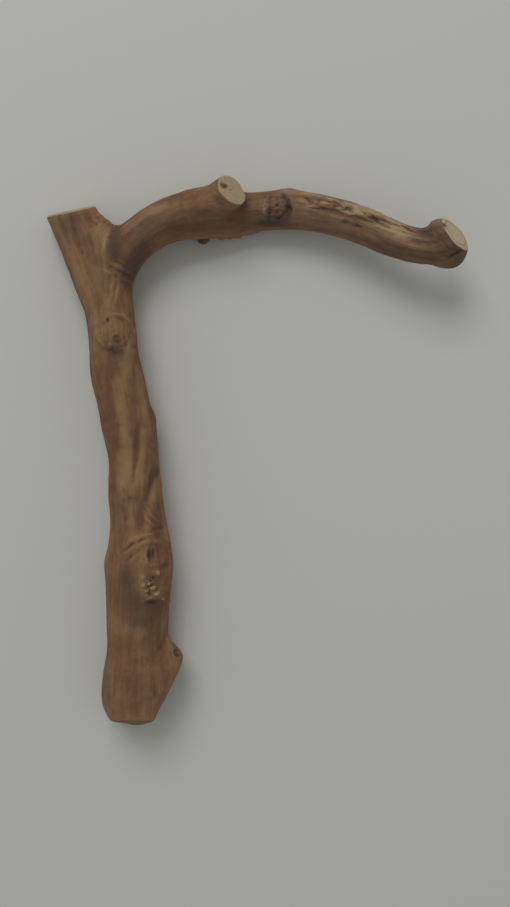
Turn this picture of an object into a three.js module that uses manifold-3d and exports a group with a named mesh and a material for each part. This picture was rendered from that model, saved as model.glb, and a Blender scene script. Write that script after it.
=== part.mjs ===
// A piece of driftwood: the sawn fork of a small tree, cleaned and worn smooth.
// A stout stem runs up to a fork. Above the fork its leader is sawn off short, and one side
// branch arches away to the right, with the stub of a twig on its upper side.
// All of it grew as one body, so it is one solid.
//
// Millimetres, +Z up. The wood lies on its back: the stem runs along Y with its foot at -Y,
// the branch runs towards +X, and the surface it rests on is the plane z = 0.

import * as THREE from 'three';
import Module from 'manifold-3d';

// Driving dimensions

// Every limb is a row of stations, foot first: the heart of the wood at x, y, z, then the
// half-width seen from above and the half-depth from front to back.
const STEM = [
  [-98, -244, 26, 23, 24],
  [-99.5, -224, 26, 26.5, 26],
  [-100.5, -205, 26, 29, 27.5],
  [-99.5, -183, 26.5, 28.2, 27.5],
  [-98.8, -160, 28, 25, 26],
  [-98.5, -130, 28.5, 26, 25.5],
  [-96.5, -95, 29, 27.5, 26],
  [-96, -74, 28.5, 25.5, 25.8],
  [-97.6, -50, 28.5, 22.9, 25],
  [-100, -27, 28, 22.6, 24],
  [-100.6, -1, 28, 21.2, 24],
  [-104.6, 24, 28, 23, 24],
  [-110.7, 50, 28, 22.5, 24],
  [-117, 75, 27.5, 22.2, 23.5],
  [-119.9, 97, 27, 20, 23],
];
const LEADER = [
  [-123.6, 125, 26.5, 20, 22.5],
  [-134, 152, 25, 20.3, 21.5],
  [-144.5, 180, 22.5, 20.5, 20.5],
  [-158.3, 212, 19.7, 20.3, 20.5],
  [-167, 234, 19, 20.3, 20],
];
const BRANCH_ROOT = [
  [-121, 131, 27, 14, 15],
  [-119, 153, 28, 16.5, 18.5],
  [-109, 175.5, 29, 17.2, 19.5],
  [-91, 192.5, 29, 17, 19.5],
  [-71, 203.5, 27, 18.2, 20.5],
];
const BRANCH = [
  [-53, 208.4, 24.5, 19.4, 21.5],
  [-31, 211.5, 20.5, 20.3, 20],
  [-10, 211.5, 16.5, 17.5, 18],
  [2, 213, 16.5, 15.5, 17.5],
  [15, 213.8, 17.5, 15.1, 17.5],
  [32, 213.5, 19.5, 15.4, 17],
  [51, 210.8, 22.5, 14.7, 16.5],
  [72, 205, 27, 14.4, 16.2],
  [91, 197.6, 32, 14, 15.7],
  [111, 187, 37, 13.6, 15.2],
  [130, 179, 42, 13.4, 15.2],
  [146, 176, 46, 14.6, 16],
  [158, 180.5, 51, 15.2, 16],
  [170, 188, 58, 13.8, 16],
];
const TWIG = [
  [-53, 209, 24, 16, 17],
  [-39, 213, 33, 15, 15.5],
  [-25, 219, 43, 14, 14.5],
  [-12.5, 225, 54, 14, 14.5],
  [-4, 229, 62, 14, 14.5],
];
// Inside the wood below it, a branch goes on down to the foot at this share of the girth.
const BURIED_GIRTH = 0.5;

// Shallow flutes wind along a limb: how many go round it, how high, and the length in which
// they wind once round (a minus sign winds the other way), and where they start.
const FLUTES = [
  { lobes: 2, height: 0.5, pitch: 600, start: 0.3 },
  { lobes: 3, height: 0.9, pitch: 520, start: 1.1 },
  { lobes: 5, height: 0.55, pitch: -340, start: 2.2 },
  { lobes: 7, height: 0.35, pitch: 260, start: 0.4 },
];
const FLUTE_SHARE = { leader: 1, branch: 0.8, twig: 0.5 };

// The width over which limbs flow into each other, where the branch and the twig leave.
const FORK_BLEND = 11;
const TWIG_BLEND = 9;

// Rounded lumps of wood that a limb's own section does not hold: centre, radius, and the
// width over which each flows into the rest.
const LUMPS = [
  { at: [-77, -172, 27], radius: 16.6, blend: 7 }, // knob on the heel
  { at: [-87, -186, 29], radius: 23, blend: 12 }, // the heel's own swell
  { at: [161, 173, 47], radius: 15.5, blend: 6 }, // the branch's rounded end
  { at: [-126, 180, 25], radius: 19, blend: 10 }, // saddle between leader and branch
  { at: [-44, 191.4, 13], radius: 5.4, blend: 2 }, // nub under the branch
];

// Swellings and hollows: centre on the skin, how wide, and how high (a hollow is negative).
const SWELLINGS = [
  { at: [-116, 107, 50], width: 13, height: 2.6 }, // upper knot
  { at: [-98, 105, 27], width: 7, height: 1.2 }, // bulge beside it
  { at: [-97.5, 90, 27], width: 3.5, height: -1.2 }, // notch below that
  { at: [-84, 36, 27], width: 4.5, height: 1.4 }, // bump on the right flank
  { at: [-87, 50, 27], width: 6, height: -0.9 },
  { at: [-85, -88, 54], width: 19, height: 4.2 }, // lower knot
  { at: [-84, -78, 56], width: 5, height: -1.8 }, // its eye
  { at: [-84, -106, 54], width: 7, height: -2.6 }, // crumbling cavity below it
  { at: [-126, -87, 28], width: 9, height: 2 }, // bulge on the left flank
  { at: [-108, 151, 49], width: 9, height: -2.8 }, // hollow in the crook of the fork
  { at: [-124, 176, 44], width: 9, height: 1.8 }, // shoulder above it
  { at: [-22, 194, 10], width: 5, height: 2 }, // rough place under the branch
  { at: [29, 229, 22], width: 6, height: 2.2 }, // lip over the dark knot
  { at: [20, 213, 35], width: 11, height: 2.5 }, // dark knot
  { at: [20, 212, 37], width: 6, height: -2.2 },
  { at: [47, 216, 38], width: 3.5, height: -1.4 }, // beetle pits
  { at: [77, 208, 44], width: 5, height: -1.8 },
  { at: [139, 187, 56], width: 5, height: -1.8 }, // hollow before the collar
  { at: [148, 195, 53], width: 4.5, height: 3.2 }, // collar at the branch's sawn end
  { at: [-129, 203, 26], width: 6, height: 3 }, // splintered shoulder beside the leader
  { at: [-112, -20, 4], width: 12, height: -2 }, // old knot on the underside
  { at: [-112, -20, 3], width: 4, height: 2.5 },
  { at: [96, 190, 14], width: 7, height: 1.5 }, // healed twig scar under the branch
];

// Ridges and grooves along the grain, drawn as seen from above. Each lies on the upper face
// (side 1) or the lower one (side -1), and fades towards both of its ends.
const SEAMS = [
  { side: 1, width: 5, height: 1.5, path: [[-107, 92], [-109, 62], [-110, 28]] },
  { side: 1, width: 4.5, height: -0.9, path: [[-100, 88], [-100.5, 58], [-97, 28], [-98, -10]] },
  { side: 1, width: 4, height: -1, path: [[-119, 80], [-119.5, 36]] },
  { side: 1, width: 4, height: 1.2, path: [[-90, 26], [-91, 7], [-95, -13], [-101, -32]] },
  { side: 1, width: 5, height: -2, path: [[-74, 4], [-83, -14], [-88.5, -27], [-92, -41], [-95, -62]] },
  { side: 1, width: 4.5, height: 1.8, path: [[-78, -12], [-81.5, -28], [-82.5, -42], [-78, -56]] },
  { side: 1, width: 4, height: 1.2, path: [[-112, -80], [-102, -70], [-92, -65], [-81, -65], [-72, -72]] },
  { side: 1, width: 5, height: -1.2, path: [[-118, -20], [-116, -90], [-113, -160]] },
  { side: 1, width: 4.5, height: 1.6, path: [[-127, 200], [-124, 176], [-122, 150], [-122, 120]] },
  { side: 1, width: 4, height: 1.5, path: [[38, 220], [78, 213], [99, 204.5], [128, 190]] },
  { side: 1, width: 4, height: -1.2, path: [[62, 203], [86, 193.5], [118, 180]] },
  { side: -1, width: 5, height: -1.8, path: [[-98, -160], [-105, -60], [-108, 40], [-122, 120]] },
  { side: -1, width: 4, height: -1.2, path: [[-96, 199], [-36, 206]] },
];

// The upper and lower face part at these heights: level along the stem, then rising with the
// branch, given as pairs of x and z. A ridge or groove fades out over the last of its face.
const PARTING = [[-70, 26], [-10, 17], [30, 19], [70, 26], [110, 36], [145, 45], [170, 54]];
const SEAM_FADE = 10;

// Saw cuts: a point on the cut, the way the sawn face looks, and the size of the wood sawn
// away there.
const SAW_CUTS = [
  { at: [-158, 212.5, 20], faces: [-0.21, 0.98, 0.34], wide: 70, long: 50 }, // leader
  { at: [-104.4, -225.2, 27], faces: [0.02, -1, 0.36], wide: 130, long: 60 }, // foot
  { at: [-73.4, -195.8, 27], faces: [0.881, -0.473, -0.1], wide: 110, long: 60 }, // heel
  { at: [-17.5, 222.5, 48.5], faces: [0.61, 0.37, 0.7], wide: 38, long: 40 }, // twig
  { at: [166, 185, 54], faces: [0.66, 0.48, 0.578], wide: 70, long: 50 }, // branch
];
// The foot's left corner is worn round: a plane again, met over a wide curve.
const WORN_CORNER = { at: [-124.6, -218, 27], faces: [-0.68, -0.73, 0.1], reach: 30, wear: 8 };
// The floor's room: what would reach below the surface is worn flat there.
const FLOOR = { wide: 600, deep: 40 };

// The wood's skin is meshed on a lattice of cubes this size, over this room.
const CELL = 5.4;
const ROOM = { from: [-195, -282, -18], to: [205, 270, 96] };

const WOOD_COLOUR = 0x6f5546;
const WOOD_ROUGHNESS = 0.85;

// Small helpers

// Soft union of two distances: the valley between them is filled over the width given.
function blend(first, second, width) {
  const near = Math.max(width - Math.abs(first - second), 0) / width;
  return Math.min(first, second) - (near * near * width) / 4;
}

// 0 below the first edge, 1 above the second, and an even rise between them.
function rise(value, from, to) {
  const part = THREE.MathUtils.clamp((value - from) / (to - from), 0, 1);
  return part * part * (3 - 2 * part);
}

function distanceToBall(ball, p) {
  return Math.hypot(p.x - ball.at[0], p.y - ball.at[1], p.z - ball.at[2]) - ball.radius;
}

// Signed distance past the worn corner's plane. Beyond its reach the distance sinks.
function pastCorner(p) {
  const [x, y, z] = WORN_CORNER.at;
  const off = new THREE.Vector3(p.x - x, p.y - y, p.z - z);
  const facing = new THREE.Vector3(...WORN_CORNER.faces).normalize();
  return off.dot(facing) - 1.5 * Math.max(off.length() - WORN_CORNER.reach, 0);
}

// How much of a drawn line's height a point gets, seen from above: 1 on the line, falling off
// with the distance over the width, and fading towards both ends of the line.
function onPath(path, width, p) {
  const lengths = path.slice(1).map(([x, y], i) => Math.hypot(x - path[i][0], y - path[i][1]));
  const total = lengths.reduce((sum, length) => sum + length, 0);
  let nearest = Infinity;
  let progress = 0;
  let before = 0;
  for (let i = 1; i < path.length; i += 1) {
    const [startX, startY] = path[i - 1];
    const alongX = path[i][0] - startX;
    const alongY = path[i][1] - startY;
    const dot = (p.x - startX) * alongX + (p.y - startY) * alongY;
    const part = THREE.MathUtils.clamp(dot / (alongX * alongX + alongY * alongY), 0, 1);
    const apart = Math.hypot(p.x - startX - part * alongX, p.y - startY - part * alongY);
    if (apart < nearest) {
      nearest = apart;
      progress = (before + part * lengths[i - 1]) / total;
    }
    before += lengths[i - 1];
  }
  return Math.exp(-((nearest / width) ** 2)) * Math.sqrt(1 - (2 * progress - 1) ** 4);
}

// Limbs

// Samples this many times farther off (in squared steps) than the nearest don't count.
const SAMPLE_STEP = 4;
const FAR_SHARE = 12;
const UP = new THREE.Vector3(0, 0, 1);

function slimmed(stations) {
  return stations.map(([x, y, z, wide, deep]) => [x, y, z, wide * BURIED_GIRTH, deep * BURIED_GIRTH]);
}

// A limb's heart line and girth as smooth curves, sampled at even steps along the wood.
// Each sample holds its place, its own cross and depth directions, and its girth there.
function limb(stations) {
  const heart = new THREE.CatmullRomCurve3(
    stations.map(([x, y, z]) => new THREE.Vector3(x, y, z)), false, 'catmullrom', 0.5);
  const girth = new THREE.CatmullRomCurve3(
    stations.map(([, , , wide, deep]) => new THREE.Vector3(wide, deep, 0)), false, 'catmullrom', 0.5);
  heart.arcLengthDivisions = stations.length * 40;
  const length = heart.getLength();
  const steps = Math.round(length / SAMPLE_STEP);
  const samples = [];
  for (let i = 0; i <= steps; i += 1) {
    const share = i / steps;
    const t = heart.getUtoTmapping(share);
    const along = heart.getTangent(t);
    const deep = UP.clone().addScaledVector(along, -along.z).normalize();
    const size = girth.getPoint(t);
    samples.push({
      centre: heart.getPoint(t),
      across: new THREE.Vector3().crossVectors(along, deep),
      deep,
      along,
      halfWidth: size.x,
      halfDepth: size.y,
      run: share * length,
      weight: 0,
    });
  }
  return samples;
}

const leader = limb([...STEM, ...LEADER]);
const branch = limb([...slimmed(STEM), ...BRANCH_ROOT, ...BRANCH]);
const twig = limb([...slimmed(STEM), ...slimmed(BRANCH_ROOT), ...TWIG]);

// Signed distance from a limb's skin, about zero on it and negative inside. The point is
// placed on the limb by a soft mean of the samples around it, which keeps the skin smooth
// where the limb bends.
function distanceToLimb(samples, p, fluteShare) {
  const soft = 2 * SAMPLE_STEP * SAMPLE_STEP;
  let nearest = Infinity;
  for (const sample of samples) {
    sample.weight = sample.centre.distanceToSquared(p);
    nearest = Math.min(nearest, sample.weight);
  }
  let total = 0;
  let a = 0;
  let b = 0;
  let t = 0;
  let wide = 0;
  let deep = 0;
  let run = 0;
  for (const sample of samples) {
    if (sample.weight - nearest > FAR_SHARE * soft) {
      continue;
    }
    const weight = Math.exp((nearest - sample.weight) / soft);
    const x = p.x - sample.centre.x;
    const y = p.y - sample.centre.y;
    const z = p.z - sample.centre.z;
    total += weight;
    a += weight * (x * sample.across.x + y * sample.across.y + z * sample.across.z);
    b += weight * (x * sample.deep.x + y * sample.deep.y + z * sample.deep.z);
    t += weight * (x * sample.along.x + y * sample.along.y + z * sample.along.z);
    wide += weight * sample.halfWidth;
    deep += weight * sample.halfDepth;
    run += weight * sample.run;
  }
  wide /= total;
  deep /= total;
  const across = a / total / wide;
  const depth = b / total / deep;
  const radius = Math.hypot(across, depth, t / total / wide);
  const angle = Math.atan2(depth, across);
  let flutes = 0;
  for (const flute of FLUTES) {
    const turn = flute.lobes * angle + (2 * Math.PI * run) / total / flute.pitch + flute.start;
    flutes += flute.height * Math.cos(turn);
  }
  const inner = Math.min(radius, 1);
  return ((radius - 1) * (wide + deep)) / 2 - fluteShare * flutes * inner * inner;
}

// The height at which the upper and the lower face part, at this x.
function partingLevel(x) {
  const next = PARTING.findIndex(([at]) => at > x);
  if (next < 0) {
    return PARTING[PARTING.length - 1][1];
  }
  if (next === 0) {
    return PARTING[0][1];
  }
  const [startX, startLevel] = PARTING[next - 1];
  const [endX, endLevel] = PARTING[next];
  return THREE.MathUtils.mapLinear(x, startX, endX, startLevel, endLevel);
}

// How far knots, hollows, ridges and grooves lift the skin at a point.
function relief(p) {
  let height = 0;
  for (const { at, width, height: top } of SWELLINGS) {
    const apart = (p.x - at[0]) ** 2 + (p.y - at[1]) ** 2 + (p.z - at[2]) ** 2;
    height += top * Math.exp(-apart / (2 * width * width));
  }
  const middle = partingLevel(p.x);
  for (const { side, width, height: top, path } of SEAMS) {
    const facing = rise(side * (p.z - middle), 0, SEAM_FADE);
    if (facing > 0) {
      height += facing * top * onPath(path, width, p);
    }
  }
  return height;
}

// The whole piece before it was sawn.
function distanceToWood(p) {
  const stem = distanceToLimb(leader, p, FLUTE_SHARE.leader);
  const arm = distanceToLimb(branch, p, FLUTE_SHARE.branch);
  const shoot = distanceToLimb(twig, p, FLUTE_SHARE.twig);
  let wood = blend(blend(stem, arm, FORK_BLEND), shoot, TWIG_BLEND);
  for (const lump of LUMPS) {
    wood = blend(wood, distanceToBall(lump, p), lump.blend);
  }
  return -blend(relief(p) - wood, -pastCorner(p), WORN_CORNER.wear);
}

// Skin

// Where the corners of a lattice square are in, out, in and out of the wood by turns, the skin
// would touch itself along a line. One of the outer corners is taken into the wood instead.
const JUST_INSIDE = -0.001;

function fillPinches(values, step) {
  const squares = [[step[0], step[1]], [step[1], step[2]], [step[2], step[0]]];
  const last = values.length - step[1] - step[2] - 1;
  let filled = 1;
  while (filled > 0) {
    filled = 0;
    for (let here = 0; here < last; here += 1) {
      for (const [one, two] of squares) {
        const inside = values[here] < 0;
        const pinched = inside === values[here + one + two] < 0
          && inside !== values[here + one] < 0
          && inside !== values[here + two] < 0;
        if (pinched) {
          values[inside ? here + one : here] = JUST_INSIDE;
          filled += 1;
        }
      }
    }
  }
}

// The skin as a mesh of four-sided cells: every cube of the lattice that the skin passes
// through gets one vertex, and every lattice edge that it crosses gets one quad.
function skinMesh() {
  const count = [0, 1, 2].map((axis) => Math.ceil((ROOM.to[axis] - ROOM.from[axis]) / CELL) + 1);
  const step = [1, count[0], count[0] * count[1]];
  const index = (i, j, k) => i * step[0] + j * step[1] + k * step[2];
  const values = new Float64Array(count[0] * count[1] * count[2]);
  const p = new THREE.Vector3();
  for (let k = 0; k < count[2]; k += 1) {
    for (let j = 0; j < count[1]; j += 1) {
      for (let i = 0; i < count[0]; i += 1) {
        p.set(ROOM.from[0] + i * CELL, ROOM.from[1] + j * CELL, ROOM.from[2] + k * CELL);
        values[index(i, j, k)] = distanceToWood(p);
      }
    }
  }

  fillPinches(values, step);

  const corners = [];
  for (let c = 0; c < 8; c += 1) {
    corners.push([c & 1, (c >> 1) & 1, c >> 2]);
  }
  const edges = [];
  for (let c = 0; c < 8; c += 1) {
    for (let axis = 0; axis < 3; axis += 1) {
      if (corners[c][axis] === 0) {
        edges.push([c, c | (1 << axis)]);
      }
    }
  }
  const positions = [];
  const vertexOf = new Map();
  for (let k = 0; k < count[2] - 1; k += 1) {
    for (let j = 0; j < count[1] - 1; j += 1) {
      for (let i = 0; i < count[0] - 1; i += 1) {
        const sum = [0, 0, 0];
        let crossings = 0;
        for (const [from, to] of edges) {
          const start = corners[from];
          const end = corners[to];
          const before = values[index(i + start[0], j + start[1], k + start[2])];
          const after = values[index(i + end[0], j + end[1], k + end[2])];
          if (before < 0 === after < 0) {
            continue;
          }
          const part = before / (before - after);
          for (let axis = 0; axis < 3; axis += 1) {
            sum[axis] += start[axis] + part * (end[axis] - start[axis]);
          }
          crossings += 1;
        }
        if (crossings > 0) {
          vertexOf.set(index(i, j, k), positions.length / 3);
          positions.push(
            ROOM.from[0] + (i + sum[0] / crossings) * CELL,
            ROOM.from[1] + (j + sum[1] / crossings) * CELL,
            ROOM.from[2] + (k + sum[2] / crossings) * CELL,
          );
        }
      }
    }
  }

  const triangles = [];
  const distance = (a, b) => Math.hypot(
    positions[3 * a] - positions[3 * b],
    positions[3 * a + 1] - positions[3 * b + 1],
    positions[3 * a + 2] - positions[3 * b + 2],
  );
  for (let k = 1; k < count[2] - 1; k += 1) {
    for (let j = 1; j < count[1] - 1; j += 1) {
      for (let i = 1; i < count[0] - 1; i += 1) {
        const here = index(i, j, k);
        for (let axis = 0; axis < 3; axis += 1) {
          const inside = values[here] < 0;
          if (inside === values[here + step[axis]] < 0) {
            continue;
          }
          const one = step[(axis + 1) % 3];
          const two = step[(axis + 2) % 3];
          const ring = [here - one - two, here - two, here, here - one].map((cube) => vertexOf.get(cube));
          if (!inside) {
            ring.reverse();
          }
          const [a, b, c, d] = ring;
          if (distance(a, c) < distance(b, d)) {
            triangles.push(a, b, c, a, c, d);
          } else {
            triangles.push(a, b, d, b, c, d);
          }
        }
      }
    }
  }
  return { positions, triangles };
}

const SETTLE_PASSES = 3;
const PROBE = 0.05;

// Moves every vertex onto the true skin, a few short steps down the slope of the distance.
function settle(positions) {
  const p = new THREE.Vector3();
  const probe = new THREE.Vector3();
  const slope = new THREE.Vector3();
  for (let v = 0; v < positions.length; v += 3) {
    p.set(positions[v], positions[v + 1], positions[v + 2]);
    for (let pass = 0; pass < SETTLE_PASSES; pass += 1) {
      const value = distanceToWood(p);
      for (const axis of ['x', 'y', 'z']) {
        probe.copy(p);
        probe[axis] += PROBE;
        slope[axis] = (distanceToWood(probe) - value) / PROBE;
      }
      const shift = THREE.MathUtils.clamp(value / slope.lengthSq(), -CELL / 3, CELL / 3);
      p.addScaledVector(slope, -shift);
    }
    positions[v] = p.x;
    positions[v + 1] = p.y;
    positions[v + 2] = p.z;
  }
}

// Solids

const wasm = await Module();
wasm.setup();

function toSolid(positions, triangles) {
  return new wasm.Manifold(new wasm.Mesh({
    numProp: 3,
    vertProperties: new Float32Array(positions),
    triVerts: new Uint32Array(triangles),
  }));
}

// A block whose near face lies on a point and looks along a direction's opposite, so that it
// fills the room beyond that point.
function blockBeyond(at, faces, wide, long) {
  const direction = new THREE.Vector3(...faces).normalize();
  const box = new THREE.BoxGeometry(wide, wide, long);
  box.translate(0, 0, long / 2);
  box.applyQuaternion(new THREE.Quaternion().setFromUnitVectors(UP, direction));
  box.translate(...at);
  const corner = box.getAttribute('position');
  const places = [];
  const seen = new Map();
  const remap = [];
  for (let i = 0; i < corner.count; i += 1) {
    const place = [corner.getX(i), corner.getY(i), corner.getZ(i)];
    const key = place.map((value) => value.toFixed(3)).join(' ');
    if (!seen.has(key)) {
      seen.set(key, places.length / 3);
      places.push(...place);
    }
    remap.push(seen.get(key));
  }
  return toSolid(places, Array.from(box.getIndex().array, (i) => remap[i]));
}

function driftwoodGeometry() {
  const { positions, triangles } = skinMesh();
  settle(positions);
  let wood = toSolid(positions, triangles);
  for (const cut of SAW_CUTS) {
    wood = wood.subtract(blockBeyond(cut.at, cut.faces, cut.wide, cut.long));
  }
  wood = wood.subtract(blockBeyond([0, 0, 0], [0, 0, -1], FLOOR.wide, FLOOR.deep));
  const mesh = wood.getMesh();
  const geometry = new THREE.BufferGeometry();
  geometry.setAttribute('position', new THREE.Float32BufferAttribute(mesh.vertProperties, 3));
  geometry.setIndex(new THREE.Uint32BufferAttribute(mesh.triVerts, 1));
  geometry.computeVertexNormals();
  return geometry;
}

const driftwood = new THREE.Mesh(
  driftwoodGeometry(),
  new THREE.MeshStandardMaterial({ color: WOOD_COLOUR, roughness: WOOD_ROUGHNESS, metalness: 0 }),
);
driftwood.name = 'driftwood';

const part = new THREE.Group();
part.add(driftwood);
export default part;
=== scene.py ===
# %% [markdown]
# # A piece of driftwood
#
# This lesson models a piece of driftwood: the sawn fork of a small tree, washed clean of bark
# and worn smooth. A stout stem runs up to a fork. The leader above the fork is sawn off short,
# and one side branch arches away to the right with the sawn stub of a twig on it.
#
# The solid that the lesson starts from has the same limbs with a coarse skin. Here that skin
# is worked out again much finer, from the same stations, and gets its knots, wrinkles, beetle
# galleries, saw cuts and grain. First come the tools and the frame that the piece must fit.

import bpy
import numpy as np
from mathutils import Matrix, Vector


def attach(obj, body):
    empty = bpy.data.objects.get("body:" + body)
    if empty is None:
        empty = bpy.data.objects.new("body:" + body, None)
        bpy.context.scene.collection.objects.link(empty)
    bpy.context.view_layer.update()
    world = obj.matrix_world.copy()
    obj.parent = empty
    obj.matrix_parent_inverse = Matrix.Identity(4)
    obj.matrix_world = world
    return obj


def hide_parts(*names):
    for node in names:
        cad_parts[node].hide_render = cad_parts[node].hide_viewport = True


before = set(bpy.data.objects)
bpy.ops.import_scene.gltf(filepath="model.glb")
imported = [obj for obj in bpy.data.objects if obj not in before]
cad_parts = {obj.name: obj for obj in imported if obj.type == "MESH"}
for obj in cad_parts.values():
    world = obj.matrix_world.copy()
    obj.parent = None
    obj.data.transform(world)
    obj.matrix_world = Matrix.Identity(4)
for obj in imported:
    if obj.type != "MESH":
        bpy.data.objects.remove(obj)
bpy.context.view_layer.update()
MM = 0.001

# %% [markdown]
# ## The view
#
# The piece lies on its back, and the photograph looks at its upper face. So the camera hangs
# straight above and looks down, with the stem upright in the picture. A phone's lens is wide
# for its size, which a 35 mm lens on a 36 mm tall sensor gives. Its height over the surface
# follows from the size of the piece in the picture.

# %% Camera
CAMERA_SPOT = (0.001, 0.0045)
CAMERA_HEIGHT = 0.777
LENS = 35.0
SENSOR = 36.0

camera_data = bpy.data.cameras.new("camera")
camera_data.sensor_fit = "VERTICAL"
camera_data.sensor_height = SENSOR
camera_data.lens = LENS
camera = bpy.data.objects.new("camera", camera_data)
camera.location = (*CAMERA_SPOT, CAMERA_HEIGHT)
bpy.context.collection.objects.link(camera)
bpy.context.scene.camera = camera
bpy.context.scene.view_settings.view_transform = "Standard"
print("camera", round(CAMERA_HEIGHT, 3), "m above the floor")

# %% [markdown]
# ## Limbs as rows of stations
#
# A limb is easiest to describe the way a tree grows it: a heart line with a girth that changes
# along the way. Each station gives the heart's place, the half-width seen from above and the
# half-depth from front to back, all in millimetres. A smooth curve through the stations gives
# every place in between.
#
# The branch and the twig go on down inside the stem, thinner than it, to the same foot. They
# stay hidden there, but it means that every limb measures its run from the foot. Below the
# fork all limbs then agree on where the fibres run, and above it the fibres part smoothly.

# %% Stations
STEM = [
    (-98, -244, 26, 23, 24),
    (-99.5, -224, 26, 26.5, 26),
    (-100.5, -205, 26, 29, 27.5),
    (-99.5, -183, 26.5, 28.2, 27.5),
    (-98.8, -160, 28, 25, 26),
    (-98.5, -130, 28.5, 26, 25.5),
    (-96.5, -95, 29, 27.5, 26),
    (-96, -74, 28.5, 25.5, 25.8),
    (-97.6, -50, 28.5, 22.9, 25),
    (-100, -27, 28, 22.6, 24),
    (-100.6, -1, 28, 21.2, 24),
    (-104.6, 24, 28, 23, 24),
    (-110.7, 50, 28, 22.5, 24),
    (-117, 75, 27.5, 22.2, 23.5),
    (-119.9, 97, 27, 20, 23),
]
LEADER = [
    (-123.6, 125, 26.5, 20, 22.5),
    (-134, 152, 25, 20.3, 21.5),
    (-144.5, 180, 22.5, 20.5, 20.5),
    (-158.3, 212, 19.7, 20.3, 20.5),
    (-167, 234, 19, 20.3, 20),
]
BRANCH_ROOT = [
    (-121, 131, 27, 14, 15),
    (-119, 153, 28, 16.5, 18.5),
    (-109, 175.5, 29, 17.2, 19.5),
    (-91, 192.5, 29, 17, 19.5),
    (-71, 203.5, 27, 18.2, 20.5),
]
BRANCH = [
    (-53, 208.4, 24.5, 19.4, 21.5),
    (-31, 211.5, 20.5, 20.3, 20),
    (-10, 211.5, 16.5, 17.5, 18),
    (2, 213, 16.5, 15.5, 17.5),
    (15, 213.8, 17.5, 15.1, 17.5),
    (32, 213.5, 19.5, 15.4, 17),
    (51, 210.8, 22.5, 14.7, 16.5),
    (72, 205, 27, 14.4, 16.2),
    (91, 197.6, 32, 14, 15.7),
    (111, 187, 37, 13.6, 15.2),
    (130, 179, 42, 13.4, 15.2),
    (146, 176, 46, 14.6, 16),
    (158, 180.5, 51, 15.2, 16),
    (170, 188, 58, 13.8, 16),
]
TWIG = [
    (-53, 209, 24, 16, 17),
    (-39, 213, 33, 15, 15.5),
    (-25, 219, 43, 14, 14.5),
    (-12.5, 225, 54, 14, 14.5),
    (-4, 229, 62, 14, 14.5),
]
BURIED_GIRTH = 0.5


def slimmed(rows):
    """The same stations with the girth of a limb that is still buried in older wood."""
    return [(x, y, z, wide * BURIED_GIRTH, deep * BURIED_GIRTH) for x, y, z, wide, deep in rows]


leader_rows = STEM + LEADER
branch_rows = slimmed(STEM) + BRANCH_ROOT + BRANCH
twig_rows = slimmed(STEM) + slimmed(BRANCH_ROOT) + TWIG
print(len(leader_rows), "stations up the leader,", len(branch_rows), "out along the branch")

# %% Smooth limbs
SAMPLE_STEP = 4.0
FINE_STEPS = 60
HEART, ACROSS, DEEP, ALONG = slice(0, 3), slice(3, 6), slice(6, 9), slice(9, 12)
WIDE, TALL, RUN = 12, 13, 14  # the last columns of a limb's table


def unit(vectors):
    """Each vector divided by its own length."""
    return vectors / np.linalg.norm(vectors, axis=-1, keepdims=True)


def curve_through(rows, t):
    """The smooth curve through stations, at station numbers t.

    Between stations b and c, with a before and d after, and f the part of the way from b to c,
    the slopes are (c - a) / 2 at b and (d - b) / 2 at c, and a cubic in f meets both stations
    with those slopes.
    """
    rows = np.asarray(rows, float)
    rows = np.vstack([2 * rows[0] - rows[1], rows, 2 * rows[-1] - rows[-2]])
    first = np.clip(np.floor(t).astype(int), 0, len(rows) - 4)
    f = (t - first)[:, None]
    a, b, c, d = (rows[first + i] for i in range(4))
    slope_b = (c - a) / 2
    slope_c = (d - b) / 2
    cubic = 2 * b - 2 * c + slope_b + slope_c
    square = -3 * b + 3 * c - 2 * slope_b - slope_c
    return cubic * f**3 + square * f**2 + slope_b * f + b


def limb(rows):
    """Samples at even steps along a limb.

    Each row of the table holds the heart's place, the directions across, deep and along, the
    half-width and half-depth, and the run from the foot. Deep is the direction square to the
    heart line that is nearest to straight up.
    """
    t = np.linspace(0, len(rows) - 1, FINE_STEPS * (len(rows) - 1) + 1)
    fine = curve_through(rows, t)[:, :3]
    run = np.concatenate([[0], np.cumsum(np.linalg.norm(np.diff(fine, axis=0), axis=1))])
    even = np.linspace(0, run[-1], round(run[-1] / SAMPLE_STEP) + 1)
    samples = curve_through(rows, np.interp(even, run, t))
    along = unit(np.gradient(samples[:, :3], even, axis=0))
    deep = unit(np.array([0, 0, 1]) - along * along[:, 2:])
    across = np.cross(along, deep)
    return np.hstack([samples[:, :3], across, deep, along, samples[:, 3:], even[:, None]])


leader, branch, twig = limb(leader_rows), limb(branch_rows), limb(twig_rows)
print("leader", round(leader[-1, RUN]), "mm long, branch", round(branch[-1, RUN]), "mm")

# %% [markdown]
# ## The wood as a distance
#
# Tubes along each limb could be joined by a boolean, but a boolean leaves a hard crease in the
# crook, where real wood flows from one limb into the other. Here the wood is a distance
# instead: a number for every point in space, negative inside the wood, positive outside and
# zero on the skin. Two limbs are then joined by taking the smaller distance, softened where
# the two are nearly alike, and knots and hollows are simply added.
#
# A point finds its place on a limb by a soft mean of the limb's samples, weighted by how near
# they are. That stays smooth on the inner side of a bend, where the nearest sample jumps.

# %% Distance to a limb
FLUTES = [  # how many round the limb, height, length of one full turn, start
    (2, 0.5, 600, 0.3),
    (3, 0.9, 520, 1.1),
    (5, 0.55, -340, 2.2),
    (7, 0.35, 260, 0.4),
]


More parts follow.
